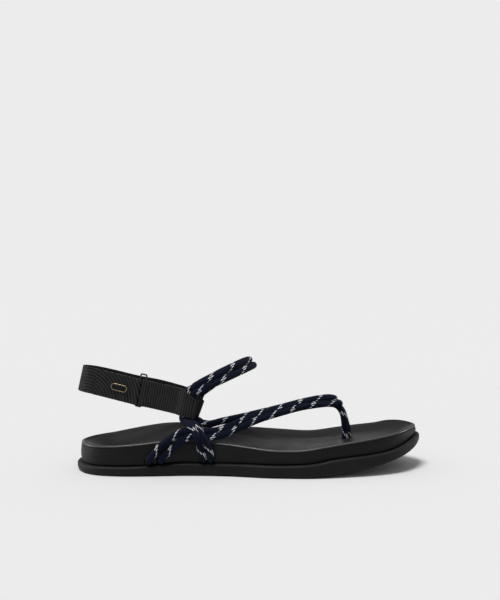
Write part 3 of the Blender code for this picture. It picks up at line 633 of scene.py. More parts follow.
def finished(tree, shader, color, roughness, height, depth):
    """Gives the shader its colour and roughness, and a bump of the given depth."""
    plug(tree, shader.inputs["Base Color"], color)
    plug(tree, shader.inputs["Roughness"], roughness)
    bump = node(tree, "Bump", {"Height": height, "Distance": depth, "Strength": 1.0})
    plug(tree, shader.inputs["Normal"], bump.outputs[0])


def fresh(name, specular, metallic=0.0):
    """A new material: its tree, its shader and the object's own coordinates."""
    made = bpy.data.materials.new(name)
    made.use_nodes = True
    tree = made.node_tree
    shader = tree.nodes["Principled BSDF"]
    shader.inputs["Specular IOR Level"].default_value = specular
    shader.inputs["Metallic"].default_value = metallic
    return made, tree, shader, tree.nodes.new("ShaderNodeTexCoord").outputs["Object"]


def moulded(name, colors, rough, grain, depth, specular, tread=False):
    """Moulded rubber or foam: a fine grain, faint wear and, on an underside, a zigzag tread."""
    made, tree, shader, place = fresh(name, specular)
    color = blended(tree, varied(tree, place, 38.0, 4.0), *colors)
    height = worked(tree, "MULTIPLY", noise(tree, place, grain, 3.0), depth)
    if tread:
        spot = node(tree, "SeparateXYZ", {0: place})
        zigzag = worked(tree, "PINGPONG", spot.outputs[1], TREAD_PITCH)
        groove = wave(tree, worked(tree, "ADD", spot.outputs[0], zigzag), 1 / TREAD_PITCH)
        groove = worked(tree, "MULTIPLY", worked(tree, "GREATER_THAN", groove, -0.35), TREAD_DEPTH)
        normal = node(tree, "NewGeometry").outputs["True Normal"]
        facing = node(tree, "SeparateXYZ", {0: normal})
        under = worked(tree, "LESS_THAN", facing.outputs[2], -0.8)
        height = worked(tree, "ADD", height, worked(tree, "MULTIPLY", groove, under))
    finished(tree, shader, color, varied(tree, place, 110.0, 3.0, *rough), height, 1.0)
    return made


def lining_look():
    """The footbed's smooth cover: a soft sheen with a leather-like grain."""
    made, tree, shader, place = fresh("footbed_lining", specular=0.14)
    cells = node(tree, "TexVoronoi", {"Vector": place, "Scale": 1250.0, "Randomness": 1.0})
    color = blended(tree, varied(tree, place, 24.0, 3.0), *LINING_COLORS)
    roughness = varied(tree, place, 75.0, 4.0, 0.42, 0.52)
    grain = worked(tree, "ADD", cells.outputs["Distance"], noise(tree, place, 2600.0))
    finished(tree, shader, color, roughness, grain, 0.00003)
    return made


def webbing_look():
    """Ribbed webbing: matte, with fine threads along and across it, and painted shade in the grooves between
    its ribs.
    """
    made, tree, shader, place = fresh("black_webbing", specular=0.10)
    lay = node(tree, "SeparateXYZ", {0: node(tree, "UVMap", uv_map="lay").outputs[0]})
    threads = worked(tree, "MULTIPLY", wave(tree, lay.outputs[1], 1 / 0.62), wave(tree, lay.outputs[0], 2.0))
    # The colour darkens from each rib's crest into the groove beside it: painted shade
    crest = worked(tree, "COSINE", worked(tree, "MULTIPLY", lay.outputs[0], math.tau))
    crest = spread_over(tree, crest, 0.0, 1.0, -0.7, 0.7)
    groove_shaded_ribs = blended(tree, crest, WEBBING_GROOVE_SHADE, WEBBING_COLORS[0])
    crests = blended(tree, varied(tree, place, 210.0, 3.0), groove_shaded_ribs, WEBBING_COLORS[1])
    shader.inputs["Sheen Weight"].default_value = 0.03
    shader.inputs["Sheen Roughness"].default_value = 0.5
    fuzz = worked(tree, "MULTIPLY", noise(tree, place, 4200.0), 0.6)
    height = worked(tree, "ADD", worked(tree, "MULTIPLY", threads, 0.5), fuzz)
    roughness = varied(tree, place, 900.0, 2.0, 0.62, 0.82)
    finished(tree, shader, blended(tree, 0.65, crests, groove_shaded_ribs), roughness, height, 0.00006)
    return made


def cord_look(name, flecked):
    """Braided cord: navy strands, with white flecks or without, read from the braid's own lay, each strand
    darker towards its edges as painted shade.

    The lay's two numbers count the strands that run one way round and the other. A fleck is one whole
    float of a strand of the first kind, where the fleck rows of that cord pass.
    """
    made, tree, shader, place = fresh(name, specular=0.06)
    lay = node(tree, "SeparateXYZ", {0: node(tree, "UVMap", uv_map="lay").outputs[0]})
    a, b = lay.outputs[0], lay.outputs[1]
    i, j = worked(tree, "FLOOR", a), worked(tree, "FLOOR", b)
    over = worked(tree, "LESS_THAN", worked(tree, "FLOORED_MODULO", worked(tree, "ADD", i, j), 4.0), 2.0)
    done_a = worked(tree, "FLOORED_MODULO", worked(tree, "ADD", b, i), 4.0)
    done_b = worked(tree, "SUBTRACT", worked(tree, "FLOORED_MODULO", worked(tree, "ADD", a, j), 4.0), 2.0)
    across_a, across_b = worked(tree, "FRACT", a), worked(tree, "FRACT", b)
    across = node(tree, "Mix", {0: over, 2: across_b, 3: across_a}, data_type="FLOAT").outputs[0]
    done = node(tree, "Mix", {0: over, 2: done_b, 3: done_a}, data_type="FLOAT").outputs[0]
    along = worked(tree, "MULTIPLY", done, 0.5)
    round_side = worked(tree, "SINE", worked(tree, "MULTIPLY", across, math.pi))
    round_end = worked(tree, "SQRT", worked(tree, "SINE", worked(tree, "MULTIPLY", along, math.pi)))
    crown = worked(tree, "MULTIPLY", round_side, round_end)
    middle_a = worked(tree, "ADD", i, 0.5)
    middle_b = worked(tree, "ADD", worked(tree, "SUBTRACT", b, done_a), 1.0)
    total = worked(tree, "ADD", middle_a, middle_b)
    lean = worked(tree, "MULTIPLY", worked(tree, "SUBTRACT", middle_a, middle_b), ROW_RATIO)
    turns = worked(tree, "MULTIPLY", worked(tree, "ADD", total, lean), 1 / (2 * STRANDS))
    passing = worked(tree, "LESS_THAN", worked(tree, "FRACT", turns), FLECK_WIDTH)
    fleck = worked(tree, "MULTIPLY", passing, worked(tree, "MULTIPLY", over, flecked))
    fleck = worked(tree, "MULTIPLY", fleck, worked(tree, "GREATER_THAN", crown, 0.08))
    # Each strand darkens from its crown to its edges, where it dips under its neighbours: painted shade
    shade = spread_over(tree, crown, 0.0, 1.0, 0.0, 0.75)
    navy = blended(tree, shade, NAVY_EDGE_SHADE, NAVY)
    navy = blended(tree, varied(tree, place, 160.0, 2.0, 0.0, 0.45), navy, NAVY_WORN)
    white = blended(tree, shade, FLECK_EDGE_SHADE, FLECK)
    shader.inputs["Sheen Weight"].default_value = 0.03
    shader.inputs["Sheen Roughness"].default_value = 0.45
    yarns = wave(tree, across, 3.0)
    height = worked(tree, "ADD", crown, worked(tree, "MULTIPLY", yarns, 0.12))
    height = worked(tree, "ADD", height, worked(tree, "MULTIPLY", noise(tree, place, 3800.0), 0.25))
    roughness = varied(tree, place, 1400.0, 2.0, 0.55, 0.75)
    finished(tree, shader, blended(tree, fleck, navy, white), roughness, height, 0.00040)
    return made


def metal_look(name, colors, rough, metallic, specular):
    """Coated or plated metal with a faint brushed grain."""
    made, tree, shader, place = fresh(name, specular, metallic)
    long_way = node(tree, "Mapping", {"Vector": place, "Scale": (1.0, 1.0, 9.0)}).outputs[0]
    brushed = noise(tree, long_way, 900.0, 3.0)
    color = blended(tree, spread_over(tree, brushed, 0.0, 1.0), *colors)
    finished(tree, shader, color, varied(tree, place, 500.0, 2.0, *rough), brushed, 0.00002)
    return made


RUBBER = moulded("tread_rubber", RUBBER_COLORS, (0.50, 0.66), 1700.0, 0.00007, specular=0.16, tread=True)
FOAM = moulded("midsole_foam", FOAM_COLORS, (0.44, 0.58), 1500.0, 0.00005, specular=0.16)
LINING = lining_look()
# The lighter colour on the footbed lip's upward faces is a painted highlight; its higher specular is real
LIP_HIGHLIGHT = moulded("lip_painted_highlight", LIP_HIGHLIGHT_COLORS, (0.30, 0.42), 1500.0, 0.00003, specular=0.5)
WEBBING = webbing_look()
CORD = cord_look("flecked_braid", 1.0)
PLAIN_CORD = cord_look("plain_braid", 0.0)
WIRE = metal_look("black_wire", WIRE_COLORS, (0.30, 0.42), metallic=0.5, specular=0.4)
PLATE_FIELD = metal_look("plate_field", PLATE_COLORS, (0.30, 0.44), metallic=0.6, specular=0.3)
PLATE_RIM = metal_look("plate_rim", PLATE_RIM_COLORS, (0.34, 0.46), metallic=1.0, specular=0.5)


# Sole pieces
rim, tread, under = outline[:, 2], outline[:, 3], outline[:, 4]


def lower_edge(offset, level, radius, steps):
    """Rings round an edge that turns from an underside up into a wall."""
    turns = [(radius * (1 - math.sin(a)), radius * (1 - math.cos(a))) for a in arc(0, 90, steps)]
    return [ring_at(offset - across, level + up) for across, up in turns]


def upper_edge(offset, level, radius, steps):
    """Rings round an edge that turns from a wall in over the top."""
    turns = [(radius * (1 - math.cos(a)), radius * (1 - math.sin(a))) for a in arc(0, 90, steps)]
    return [ring_at(offset - across, level - down) for across, down in turns]


rounded = lower_edge(FLANGE, under, TREAD_BOTTOM_ROUND, 7)
shoulder = upper_edge(FLANGE, tread, TREAD_TOP_ROUND, 6)
sole_tread = stacked("tread_and_flange", rounded + shoulder, flat_cap, flat_cap, RUBBER)
piece(sole_tread, "rubber", "outsole")

foot = tread + GAP
walls = lower_edge(0, foot, EDGE_ROUND, 4)
for k in range(1, WALL_ROWS):
    lift = k / WALL_ROWS
    level = foot + EDGE_ROUND + (rim - foot - 2 * EDGE_ROUND) * lift
    walls.append(ring_at(WALL_BULGE * math.sin(math.pi * lift), level))
walls += upper_edge(0, rim, SEAM_ROUND, 4)
sole_wall = stacked("midsole_wall", walls, flat_cap, under_footbed, FOAM)

under_lip = rim + GAP
profile = np.array([(-0.12, 0.0), (-0.02, 0.25), (-0.25, 0.72), (-1.0, 1.0)])
lip = []
for inset, lift in spline(profile, 5):
    base_level = under_lip * (1 - lift) + rim * lift
    lip.append(ring_at(LIP_ROUND * inset, base_level + LIP_HEIGHT * lift))
footbed = stacked("footbed_cover", lip, under_footbed, rolled_cup, LINING)


def footbed_top(x, y):
    """Height of the footbed's upper face at a point."""
    share = (y - wall_y(x, -1)) / (wall_y(x, 1) - wall_y(x, -1))
    level = on_side(x, -1, 2) * (1 - share) + on_side(x, 1, 2) * share
    return float(level + LIP_HEIGHT - cup(x, y, on_side(x, -1, 5)))


# Heel strap
def spots(table):
    """The table's rows as points in metres."""
    return [tuple(share * size for share, size in zip(row, PATH_SIZES)) for row in table]


strap_line = spline(spots(STRAP_PATH), 10)
strap_run = run_of(strap_line)
STRAP_END = strap_run[-1]
sleeve_in = SLEEVE_IN * SOLE_LENGTH
sleeve_out = STRAP_END - SLEEVE_OUT * SOLE_LENGTH
SLEEVE_REACH = CORD_DIAMETER


def strap_at(s):
    return np.array([np.interp(s, strap_run, column) for column in strap_line.T])


def on_strap(s):
    """Point, outward direction and width direction of the strap at a distance along its line."""
    at = strap_at(s)
    if s < 0:
        at += (strap_line[1] - strap_line[0]) / np.linalg.norm(strap_line[1] - strap_line[0]) * s
    if s > STRAP_END:
        step = strap_line[-1] - strap_line[-2]
        at += step / np.linalg.norm(step) * (s - STRAP_END)
    # Within a sleeve the directions stay those of its inner end, so that its walls are parallel
    held = min(max(s, sleeve_in + SLEEVE_REACH), sleeve_out - SLEEVE_REACH)
    low, high = held - STRAP_STEP * 0.7, held + STRAP_STEP * 0.7
    tangent = Vector(strap_at(high) - strap_at(low)).normalized()
    wide = Vector((STRAP_LEAN, 0, 1))
    wide = (wide - tangent * wide.dot(tangent)).normalized()
    out = tangent.cross(wide).normalized()
    inside = Vector((HEEL_MIDDLE[0] * SOLE_LENGTH, HEEL_MIDDLE[1] * HALF_BALL, at[2]))
    return Vector(at), -out if out.dot(Vector(at) - inside) < 0 else out, wide


LAYER = STRAP_THICKNESS + GAP
SLEEVE_R = CORD_R + SLEEVE_SLACK + STRAP_THICKNESS / 2
RING_R = RING_WIRE / 2 + GAP + STRAP_THICKNESS / 2
BETWEEN = -LAYER / 2
ring_left = STRAP_END - RING_OUT * SOLE_LENGTH
ring_right = ring_left + RING_SPAN
tab_end = STRAP_END - TAB_END * SOLE_LENGTH


def fold(center, half, radius, way, start, stop, tail, blend):
    """The webbing's middle line where it folds round something: (distance, offset) rows.

    It comes in at offset start, goes round the front of what it holds and leaves at offset stop,
    with a straight tail. way is 1 where the fold faces the strap's front end and -1 where it faces back.
    """
    rows = []
    spread = radius if start > stop else -radius
    for k in range(5):
        ease = swing(k, 5)
        rows.append((-half - blend * (1 - k / 5), start + (BETWEEN + spread - start) * ease))
    rows.append((-half, BETWEEN + spread))
    for k in range(7):
        a = math.pi * k / 6
        rows.append((half + radius * math.sin(a), BETWEEN + spread * math.cos(a)))
    rows.append((-half, BETWEEN - spread))
    for k in range(1, 6):
        ease = swing(k, 5)
        rows.append((-half - blend * k / 5, BETWEEN - spread + (stop - BETWEEN + spread) * ease))
    rows.append((-half - blend - tail, stop))
    return [(center + way * along, offset) for along, offset in rows]


def straight(start, stop, offset):
    """Rows along the strap at one offset, between two distances."""
    count = max(2, int(abs(stop - start) / STRAP_STEP))
    return [(start + (stop - start) * k / count, offset) for k in range(count + 1)]


half_pair = CORD_SPACING / 2
sleeve_rows = fold(sleeve_in, half_pair, SLEEVE_R, -1, 0.0, -LAYER, RETURN_LENGTH, BLEND)
sleeve_rows = sleeve_rows[::-1]
front_of_bend = tab_end - TAB_CLEARANCE
tab_reach = ring_left - BLEND * 0.6 - TAB_CLEARANCE
inner_run = straight(sleeve_in + half_pair + BLEND * 1.6, front_of_bend - DIVE, 0.0)
dive = []
for k in range(1, 5):
    dive.append((front_of_bend - DIVE * (1 - k / 4), -LAYER * swing(k, 4)))
under_tab = straight(tab_end + TAB_CLEARANCE, tab_reach, -LAYER)
ring_fold = fold(ring_left, FOLD_REACH, RING_R, 1, -LAYER, 0.0, 0.0, BLEND * 0.6)
tab_run = straight(tab_reach, tab_end, 0.0)
heel_rows = sleeve_rows + inner_run + dive + under_tab + ring_fold + tab_run

front_sleeve = fold(sleeve_out, half_pair, SLEEVE_R, 1, 0.0, -LAYER, RETURN_LENGTH, BLEND)
ring_side = fold(ring_right, FOLD_REACH, RING_R, -1, 0.0, -LAYER, RETURN_LENGTH * 0.3, BLEND * 0.6)
between = straight(ring_right + BLEND, sleeve_out - half_pair - BLEND * 1.4, 0.0)
front_rows = ring_side[::-1] + between + front_sleeve


def webbing(name, rows, ribs, node_name):
    """Ribbed webbing along (distance, offset) rows.

    ribs gives the count of ribs passed, from the distance and the drop from the top edge.
    """
    kept = [rows[0]]
    for row in rows[1:]:
        if math.dist(row, kept[-1]) > STRAP_THICKNESS * 0.2:
            kept.append(row)
    line = np.array(kept)
    line = even(spline(line, 12), int(run_of(line)[-1] / WEB_GRAIN))
    line = smoothed(line, 4)
    step = np.gradient(line, axis=0)
    side = unit(np.stack([-step[:, 1], step[:, 0]], axis=1))
    half_thick = STRAP_THICKNESS / 2
    inset = half_thick * 0.8
    levels = np.linspace(1, -1, WEB_COLUMNS)
    turns = arc(60, -60, 4)
    across = [(level, 1.0, 0.0) for level in levels]
    across += [(-1.0, math.sin(a), math.cos(a)) for a in turns]
    across += [(level, -1.0, 0.0) for level in levels[::-1]]
    across += [(1.0, -math.sin(a), math.cos(a)) for a in turns]
    points, lay = [], []
    for (s, offset), normal in zip(line, side):
        point, out, wide = on_strap(s)
        tangent = wide.cross(out)
        ahead = on_strap(s + WEB_GRAIN)[0] - point
        tangent = tangent if tangent.dot(ahead) > 0 else -tangent
        narrow = max(0.0, s - (sleeve_out - CORD_SPACING), (sleeve_in + CORD_SPACING) - s)
        if min(abs(s - sleeve_out), abs(s - sleeve_in)) > SLEEVE_REACH * 4:
            narrow = 0.0
        top, bottom = STRAP_WIDTH / 2 - SLEEVE_CUT * narrow, -STRAP_WIDTH / 2
        row, spots_here = [], []
        for level, face, bulge in across:
            height = (top - inset) * (1 + level) / 2 + (bottom + inset) * (1 - level) / 2
            height += level * bulge * inset
            passed = ribs(s, top - height)
            thick = face * half_thick
            if not bulge:
                thick -= math.copysign(RIB_DEPTH * (0.5 - 0.5 * math.cos(math.tau * passed)), face)
            place = point + tangent * (normal[0] * thick) + out * (offset + normal[1] * thick)
            row.append(place + wide * height)
            spots_here.append((passed, height * 1000))
        points.append(row)
        lay.append(spots_here + [spots_here[0]])
    made = skin(name, np.array(points), WEBBING, np.array(lay))
    return piece(facing_out(made), "webbing", node_name)


def skin(name, points, look, lay=None, sharp=0):
    """A closed skin over rows of points that go round a line, with both ends filled."""
    rows, cols = points.shape[:2]
    index = np.arange(rows * cols).reshape(rows, cols)
    right = np.roll(index, -1, axis=1)
    faces = fours(index[:-1], right[:-1], right[1:], index[1:])
    faces += [index[0, ::-1].tolist(), index[-1].tolist()]
    corners = None
    if lay is not None:
        corners = np.stack([lay[:-1, :-1], lay[:-1, 1:], lay[1:, 1:], lay[1:, :-1]], axis=2).reshape(-1, 2)
        corners = np.vstack([corners, np.zeros((2 * cols, 2))])
    return meshed(name, points.reshape(-1, 3).tolist(), faces, [look], sharp, corners)


def tab_ribs(s, drop):
    """Ribs in rings round the tab's lower corner, and upright ones on the run behind it."""
    if s < tab_end - TAB_RINGS_FROM:
        return s / FRONT_RIB
    along, up = s - tab_end - TAB_CENTER[0], STRAP_WIDTH - drop - TAB_CENTER[1]
    return math.hypot(along, up) / TAB_RIB


webbing("heel_webbing", heel_rows, tab_ribs, "heel_strap")
webbing("front_webbing", front_rows, lambda s, drop: s / FRONT_RIB, "front_strap")


# Cords
def flowing(points, firm=()):
    """A smooth dense curve through the points, straight between two firm points."""
    rows = [np.array(p, float) for p in points]
    rows = [2 * rows[0] - rows[1]] + rows + [2 * rows[-1] - rows[-2]]
    held = {tuple(p) for p in firm}
    dense = []
    for a, b, c, d in zip(rows, rows[1:], rows[2:], rows[3:]):
        if tuple(b) in held and tuple(c) in held:
            dense += [b + (c - b) * k / ROUTE_STEPS for k in range(ROUTE_STEPS)]
            continue
        t1 = np.linalg.norm(b - a) ** 0.5
        t2 = t1 + np.linalg.norm(c - b) ** 0.5
        t3 = t2 + np.linalg.norm(d - c) ** 0.5
        dense += span(a, b, c, d, t1, t2, t3, ROUTE_STEPS)
    dense.append(rows[-2])
    return np.array(dense)


def evened(line, grain):
    """The line at even steps."""
    length = np.linalg.norm(np.diff(line, axis=0), axis=1).sum()
    return smoothed(even(line, int(length / grain), 3), 5)


def round_frame(line):
    """Two directions square to the line at each row, carried along it without twist."""
    ahead = unit(np.gradient(line, axis=0))
    first = np.array([0.0, 0.0, 1.0]) if abs(ahead[0, 2]) < 0.9 else np.array([1.0, 0.0, 0.0])
    normals = []
    for way in ahead:
        first = first - way * np.dot(first, way)
        first /= np.linalg.norm(first)
        normals.append(first)
    normals = np.array(normals)
    return normals, np.cross(ahead, normals)


def braided(name, points, look, turned=0.0, firm=(), radius=CORD_R, lead=BRAID_LEAD):
    """A braided cord: strands that pass two over and two under each other round a core."""
    line = evened(flowing(points, firm), CORD_GRAIN)
    normal, other = round_frame(line)
    run = run_of(line)
    turn = (run / lead + turned)[:, None]
    u = (np.arange(CORD_SIDES + 1) / CORD_SIDES)[None]
    a, b = STRANDS * (u + turn), STRANDS * (u - turn)
    i, j = np.floor(a), np.floor(b)
    over = (i + j) % 4 < 2
    along = np.where(over, (b + i) % 4, (a + j) % 4 - 2) / 2
    across = np.where(over, a - i, b - j)
    side = np.sqrt(np.maximum(1 - (2 * across - 1) ** 2, 0))
    crown = np.sqrt(np.maximum(np.sin(np.pi * along), 0))
    height = radius * CORE_SHARE + RIDGE * (0.25 + 0.75 * side) * (0.45 + 0.55 * crown)
    angle = u[:, :-1] * math.tau
    points = line[:, None] + height[:, :-1, None] * (
        np.cos(angle)[..., None] * normal[:, None] + np.sin(angle)[..., None] * other[:, None]
    )
    return piece(skin(name, points, look, np.stack([a, b], axis=-1)), "cord", "rope_upper")


def leaving(along, side, lean=0.0):
    """The cord from inside its slot to the foot of the wall outside: out level, then up with a lean."""
    x = along * SOLE_LENGTH
    level = tread_top(x, side) + CORD_R + GAP
    clear = wall_y(x, side) + side * (CORD_R + GAP + WALL_BULGE)
    bend = CORD_R * 1.25
    rows = [(x, wall_y(x, side) - side * (SLOT_DEPTH - SLOT_END), level)]
    for a in arc(0, 90, 3):
        rise = bend * (1 - math.cos(a))
        rows.append((x + lean * rise, clear - side * bend * (1 - math.sin(a)), level + rise))
    return rows


def along_wall(rows, side):
    """Points that lie on the midsole's wall.

    A row is (share of SOLE_LENGTH, share of RIM_HEIGHT, stand-off as a share of CORD_DIAMETER).
    """
    clear = CORD_R + GAP + WALL_BULGE
    found = []
    for along, height, off in rows:
        x = along * SOLE_LENGTH
        found.append((x, wall_y(x, side) + side * (clear + off * CORD_DIAMETER), height * RIM_HEIGHT))
    return found


def in_sleeve(center, shift, way):
    """A cord's straight run through a sleeve, bottom to top."""
    point, out, wide = on_strap(center + shift)
    middle = point + out * BETWEEN
    low, high = STRAP_WIDTH / 2 + SLEEVE_RUN_OUT, STRAP_WIDTH / 2 - SLEEVE_RUN_OUT
    rows = [middle - wide * low, middle, middle + wide * high]
    return [tuple(row) for row in (rows if way > 0 else rows[::-1])]


post_mid = np.array(spots((POST_TOP,))[0])
foot_x, foot_y = POST_FOOT[0] * SOLE_LENGTH, POST_FOOT[1] * HALF_BALL
foot_z = footbed_top(foot_x, foot_y)
tread_z = (tread_top(foot_x, -1) + tread_top(foot_x, 1)) / 2
POST_DEPTH = FOOTBED_THICKNESS + POST_SHARE * (foot_z - FOOTBED_THICKNESS - tread_z)


def post(way):
    """One cord of the post, from the strap down into the footbed. way is -1 for the outer cord."""
    near = post_mid + np.array([0, way * half_pair, 0])
    low = np.array([math.cos(POST_TURN), math.sin(POST_TURN), 0]) * way * half_pair
    end = np.array([foot_x, foot_y, foot_z]) + low
    half_axis = Vector((math.cos(POST_TURN), 1 + math.sin(POST_TURN), 0)).normalized()
    half = (post_mid + end - low) / 2 + np.array([POST_BOW, 0, 0])
    half += np.array(half_axis) * way * half_pair
    deep = end - np.array([0, 0, POST_DEPTH])
    return [tuple(near), tuple(half), tuple(end + np.array([0, 0, POST_STRAIGHT])), tuple(deep)]


toe_route = (
    leaving(TOE_EXITS[0], -1, TOE_LEAN)
    + along_wall(((-0.2665, 0.53, 0.0), (-0.247, 0.73, 0.0), (-0.221, 0.905, 0.06)), -1)
    + spots(TOE_UPPER_OUTER)
    + spots((TOE_UPPER_APEX,))
    + spots(TOE_UPPER_INNER)
    + along_wall(((-0.160, 0.935, 0.12), (-0.200, 0.72, 0.0), (-0.236, 0.50, 0.0)), 1)
    + leaving(TOE_EXITS_IN[0], 1, TOE_LEAN)[::-1]
)
outer_route = (
    leaving(TOE_EXITS[1], -1, TOE_LEAN)
    + along_wall(((-0.231, 0.54, 0.0), (-0.212, 0.705, 0.0), (-0.187, 0.872, 0.08)), -1)
    + spots(TOE_LOWER_OUTER)
    + post(-1)
)
inner_route = (
    leaving(TOE_EXITS_IN[1], 1, TOE_LEAN)
    + along_wall(((-0.205, 0.48, 0.0), (-0.176, 0.66, 0.0), (-0.146, 0.82, 0.08)), 1)
    + spots(TOE_LOWER_INNER)[::-1]
    + post(1)
)
rear_sleeves = in_sleeve(sleeve_out, -half_pair, 1) + in_sleeve(sleeve_in, half_pair, -1)
rear_route = (
    leaving(ANKLE_EXITS[0], -1)
    + along_wall(((-0.1345, 0.60, 0.0),), -1)
    + spots(ANKLE_REAR_OUTER)
    + rear_sleeves[:3]
    + spots(LOOP_REAR)
    + rear_sleeves[3:]
    + spots(ANKLE_REAR_INNER)
    + along_wall(((-0.156, 0.52, 0.12),), 1)
    + leaving(ANKLE_EXITS_IN[0], 1)[::-1]
)
front_sleeves = in_sleeve(sleeve_out, half_pair, 1) + in_sleeve(sleeve_in, -half_pair, -1)
front_route = (
    leaving(ANKLE_EXITS[1], -1)
    + along_wall(((-0.1100, 0.55, 0.0),), -1)
    + spots(ANKLE_FRONT_OUTER)
    + front_sleeves[:3]
    + spots(LOOP_FRONT)
    + front_sleeves[3:]
    + spots(ANKLE_FRONT_INNER)
    + along_wall(((-0.137, 0.52, 0.12),), 1)
    + leaving(ANKLE_EXITS_IN[1], 1)[::-1]
)
wrap_x, wrap_y, wrap_z = spots((WRAP_MIDDLE,))[0]
wrap_route = [
    (wrap_x - WRAP_DIAMETER * bow, wrap_y + WRAP_DIAMETER * off, wrap_z)
    for off, bow in ((-0.85, 0.30), (-0.45, 0.07), (0.0, 0.0), (0.45, 0.07), (0.85, 0.30))
]
braided("toe_cord_upper", toe_route, CORD, TOE_UPPER_TURN)
braided("toe_cord_outer", outer_route, CORD, TOE_OUTER_TURN)
braided("toe_cord_inner", inner_route, CORD, TOE_INNER_TURN)
braided("ankle_cord_rear", rear_route, CORD, ANKLE_REAR_TURN, rear_sleeves, CORD_R, ANKLE_LEAD)
braided("ankle_cord_front", front_route, CORD, ANKLE_FRONT_TURN, front_sleeves, CORD_R, ANKLE_LEAD)
braided("post_wrap", wrap_route, PLAIN_CORD, 0.0, (), WRAP_DIAMETER / 2)


# Slots in the midsole where the cords go in, and the hole for the post
def prism(name, rings):
    """A closed cutter from rings of points."""
    return facing_out(skin(name, np.array(rings), FOAM))


for exits, side in ((TOE_EXITS, -1), (ANKLE_EXITS, -1), (TOE_EXITS_IN, 1), (ANKLE_EXITS_IN, 1)):
    for x in (along * SOLE_LENGTH for along in exits):
        reach = CORD_R + 1.5 * GAP
        wall, level = wall_y(x, side), tread_top(x, side) + CORD_R + GAP
        round_slot = [
            [(x + reach * math.cos(a), y, level + reach * math.sin(a)) for a in arc(0, 345, 23)]
            for y in (wall - side * SLOT_DEPTH, wall + side * CORD_DIAMETER)
        ]
        cut(prism("slot", round_slot), sole_wall)

reach = CORD_R + 2 * GAP
hole = []
for end in (1, -1):
    for k in range(13):
        a = POST_TURN + (0 if end > 0 else math.pi) + math.pi * (k / 12 - 0.5)
        x = foot_x + math.cos(POST_TURN) * end * half_pair + reach * math.cos(a)
        y = foot_y + math.sin(POST_TURN) * end * half_pair + reach * math.sin(a)
        hole.append((x, y))
levels = (foot_z - POST_DEPTH - 2 * GAP, foot_z + CORD_DIAMETER)
cut(prism("hole", [[(x, y, level) for x, y in hole] for level in levels]), sole_wall, footbed)
piece(sole_wall, "foam", "midsole")
# Edge faces of the footbed that look upward take the lighter lip colour: a painted highlight along the rim
footbed.data.materials.append(LIP_HIGHLIGHT)
faces = footbed.data.polygons
middles = np.array([polygon.center[:2] for polygon in faces])
lip_highlight_edge = reach_inside(middles[:, 0], middles[:, 1]) < LIP_ROUND
for polygon, near in zip(faces, lip_highlight_edge):
    if near and polygon.normal.z > 0.1:
        polygon.material_index = len(footbed.data.materials) - 1
piece(footbed, "lining", "insole")
for made in (sole_wall, footbed):
    made.data.shade_smooth()
    made.data.set_sharp_from_angle(angle=math.radians(SHARP_ANGLE))

# Ring: a wire rectangle whose two upright bars lie in the folds of the straps
low = -STRAP_WIDTH / 2 - RING_WIRE / 2
high = STRAP_WIDTH / 2 + RING_RISE
track = []
corners = ((ring_left, low, 1), (ring_left, high, 1), (ring_right, high, -1), (ring_right, low, -1))
for s, level, inward in corners:
    point, out, wide = on_strap(s)
    turned = on_strap(s + inward * RING_WIRE)
    near = point + out * BETWEEN + wide * (level - math.copysign(RING_WIRE, level))
    bent = turned[0] + turned[1] * BETWEEN + turned[2] * level
    full = point + out * BETWEEN + wide * level
    rows = []
    for k in range(9):
        t = k / 8
        rows.append(near * (1 - t) ** 2 + full * 2 * t * (1 - t) + bent * t * t)
    track += rows if (level > 0) == (inward > 0) else rows[::-1]
line = even(np.array([tuple(p) for p in track + track[:1]]), 160, 3)[:-1]
ahead = unit(np.roll(line, -1, axis=0) - np.roll(line, 1, axis=0))
face_out = np.array(on_strap((ring_left + ring_right) / 2)[1])
sideways = unit(np.cross(ahead, face_out))
upright = np.cross(sideways, ahead)
angles = np.arange(14) / 14 * math.tau
loops = line[:, None] + RING_WIRE / 2 * (
    np.cos(angles)[None, :, None] * sideways[:, None] + np.sin(angles)[None, :, None] * upright[:, None]
)
index = np.arange(loops[..., 0].size).reshape(len(line), -1)
after, right = np.roll(index, -1, axis=0), np.roll(index, -1, axis=1)
faces = fours(index, right, np.roll(after, -1, axis=1), after)
ring = meshed("slider_ring", loops.reshape(-1, 3).tolist(), faces, [WIRE], 0)
piece(facing_out(ring), "wire", "strap_ring")

# Plate: a blank stadium plate with a thin raised rim, bent with the webbing
plate_center = STRAP_END - PLATE_OUT * SOLE_LENGTH
face = STRAP_THICKNESS / 2 + GAP
rings = []
for inset, lift in PLATE_RIM_ROWS + PLATE_FIELD_ROWS:
    radius = PLATE_WIDTH / 2 - inset / 1000
    ring = []
    for k in range(PLATE_SIDES):
        a = math.tau * (k + 0.5) / PLATE_SIDES
        x = math.copysign((PLATE_LENGTH - PLATE_WIDTH) / 2, math.cos(a)) + radius * math.cos(a)
        point, out, wide = on_strap(plate_center + x)
        ring.append(point + out * (face + PLATE_THICKNESS * lift) + wide * radius * math.sin(a))
    rings.append(ring)
plate = skin("blank_plate", np.array(rings), PLATE_FIELD, None, 50)
plate.data.materials.append(PLATE_RIM)
for polygon in plate.data.polygons:
    if polygon.index < PLATE_SIDES * len(PLATE_RIM_ROWS):
        polygon.material_index = 1
piece(facing_out(plate), "plate", "strap_plate")

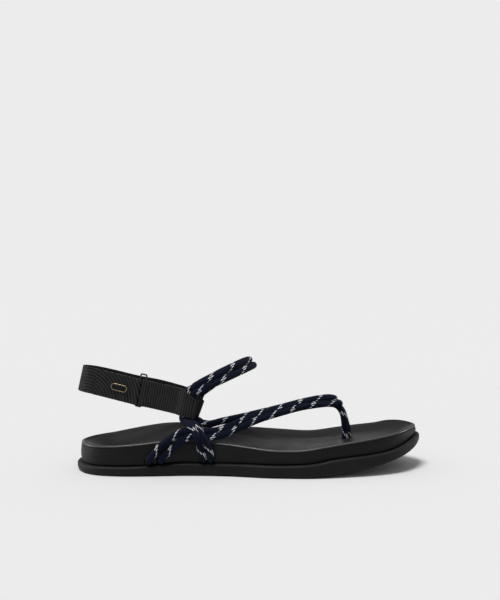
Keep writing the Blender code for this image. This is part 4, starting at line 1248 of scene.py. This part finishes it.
# Studio
paint, tree, shader, place = fresh("studio_floor", specular=0.0)
dark, light = (FLOOR_SHADE - 0.001,) * 3, (FLOOR_SHADE + 0.001,) * 3
plug(tree, shader.inputs["Base Color"], blended(tree, varied(tree, place, 3.0, 2.0), dark, light))
shader.inputs["Roughness"].default_value = 1.0
corners = [(x * FLOOR_SPAN, y * FLOOR_SPAN, 0) for x, y in ((-1, -1), (1, -1), (1, 1), (-1, 1))]
floor = meshed("studio_floor", corners, [(0, 1, 2, 3)], [paint], 0)
floor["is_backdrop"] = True

scene = bpy.context.scene
scene.view_settings.view_transform = "Standard"
world = bpy.data.worlds.new("studio")
scene.world = world
world.use_nodes = True
air = world.node_tree
white = (1, 1, 1, 1)
backdrop = node(air, "Background", {"Color": white, "Strength": BACKDROP}).outputs[0]
sky = node(air, "Background", {"Color": white, "Strength": SKY_LIGHT}).outputs[0]
seen = node(air, "LightPath").outputs["Is Camera Ray"]
either = node(air, "MixShader", {0: seen, 1: sky, 2: backdrop}).outputs[0]
plug(air, air.nodes["World Output"].inputs[0], either)

sun = bpy.data.lights.new("key", "SUN")
sun.energy = KEY_STRENGTH
sun.angle = math.radians(KEY_SPREAD)
key = placed("key", sun)
key.rotation_euler = Vector(KEY_FROM).to_track_quat("Z", "Y").to_euler()

lit = bpy.data.collections.new("lit_by_softboxes")
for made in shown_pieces():
    lit.objects.link(made)
for count, (place, aim, width, height, watts) in enumerate(SOFTBOXES):
    lamp = bpy.data.lights.new(f"softbox_{count}", "AREA")
    lamp.shape = "RECTANGLE"
    lamp.size, lamp.size_y, lamp.energy = width, height, watts
    box = placed(f"softbox_{count}", lamp)
    box.location = place
    box.rotation_euler = (Vector(place) - Vector(aim)).to_track_quat("Z", "Y").to_euler()
    box.visible_camera = False
    box.light_linking.receiver_collection = lit

data = bpy.data.cameras.new("camera")
data.lens = CAMERA_LENS
data.sensor_width = 36
data.clip_start, data.clip_end = 0.01, 2000
camera = placed("camera", data)
camera.location = CAMERA_AT
camera.rotation_euler = (math.radians(90), 0, 0)
scene.camera = camera
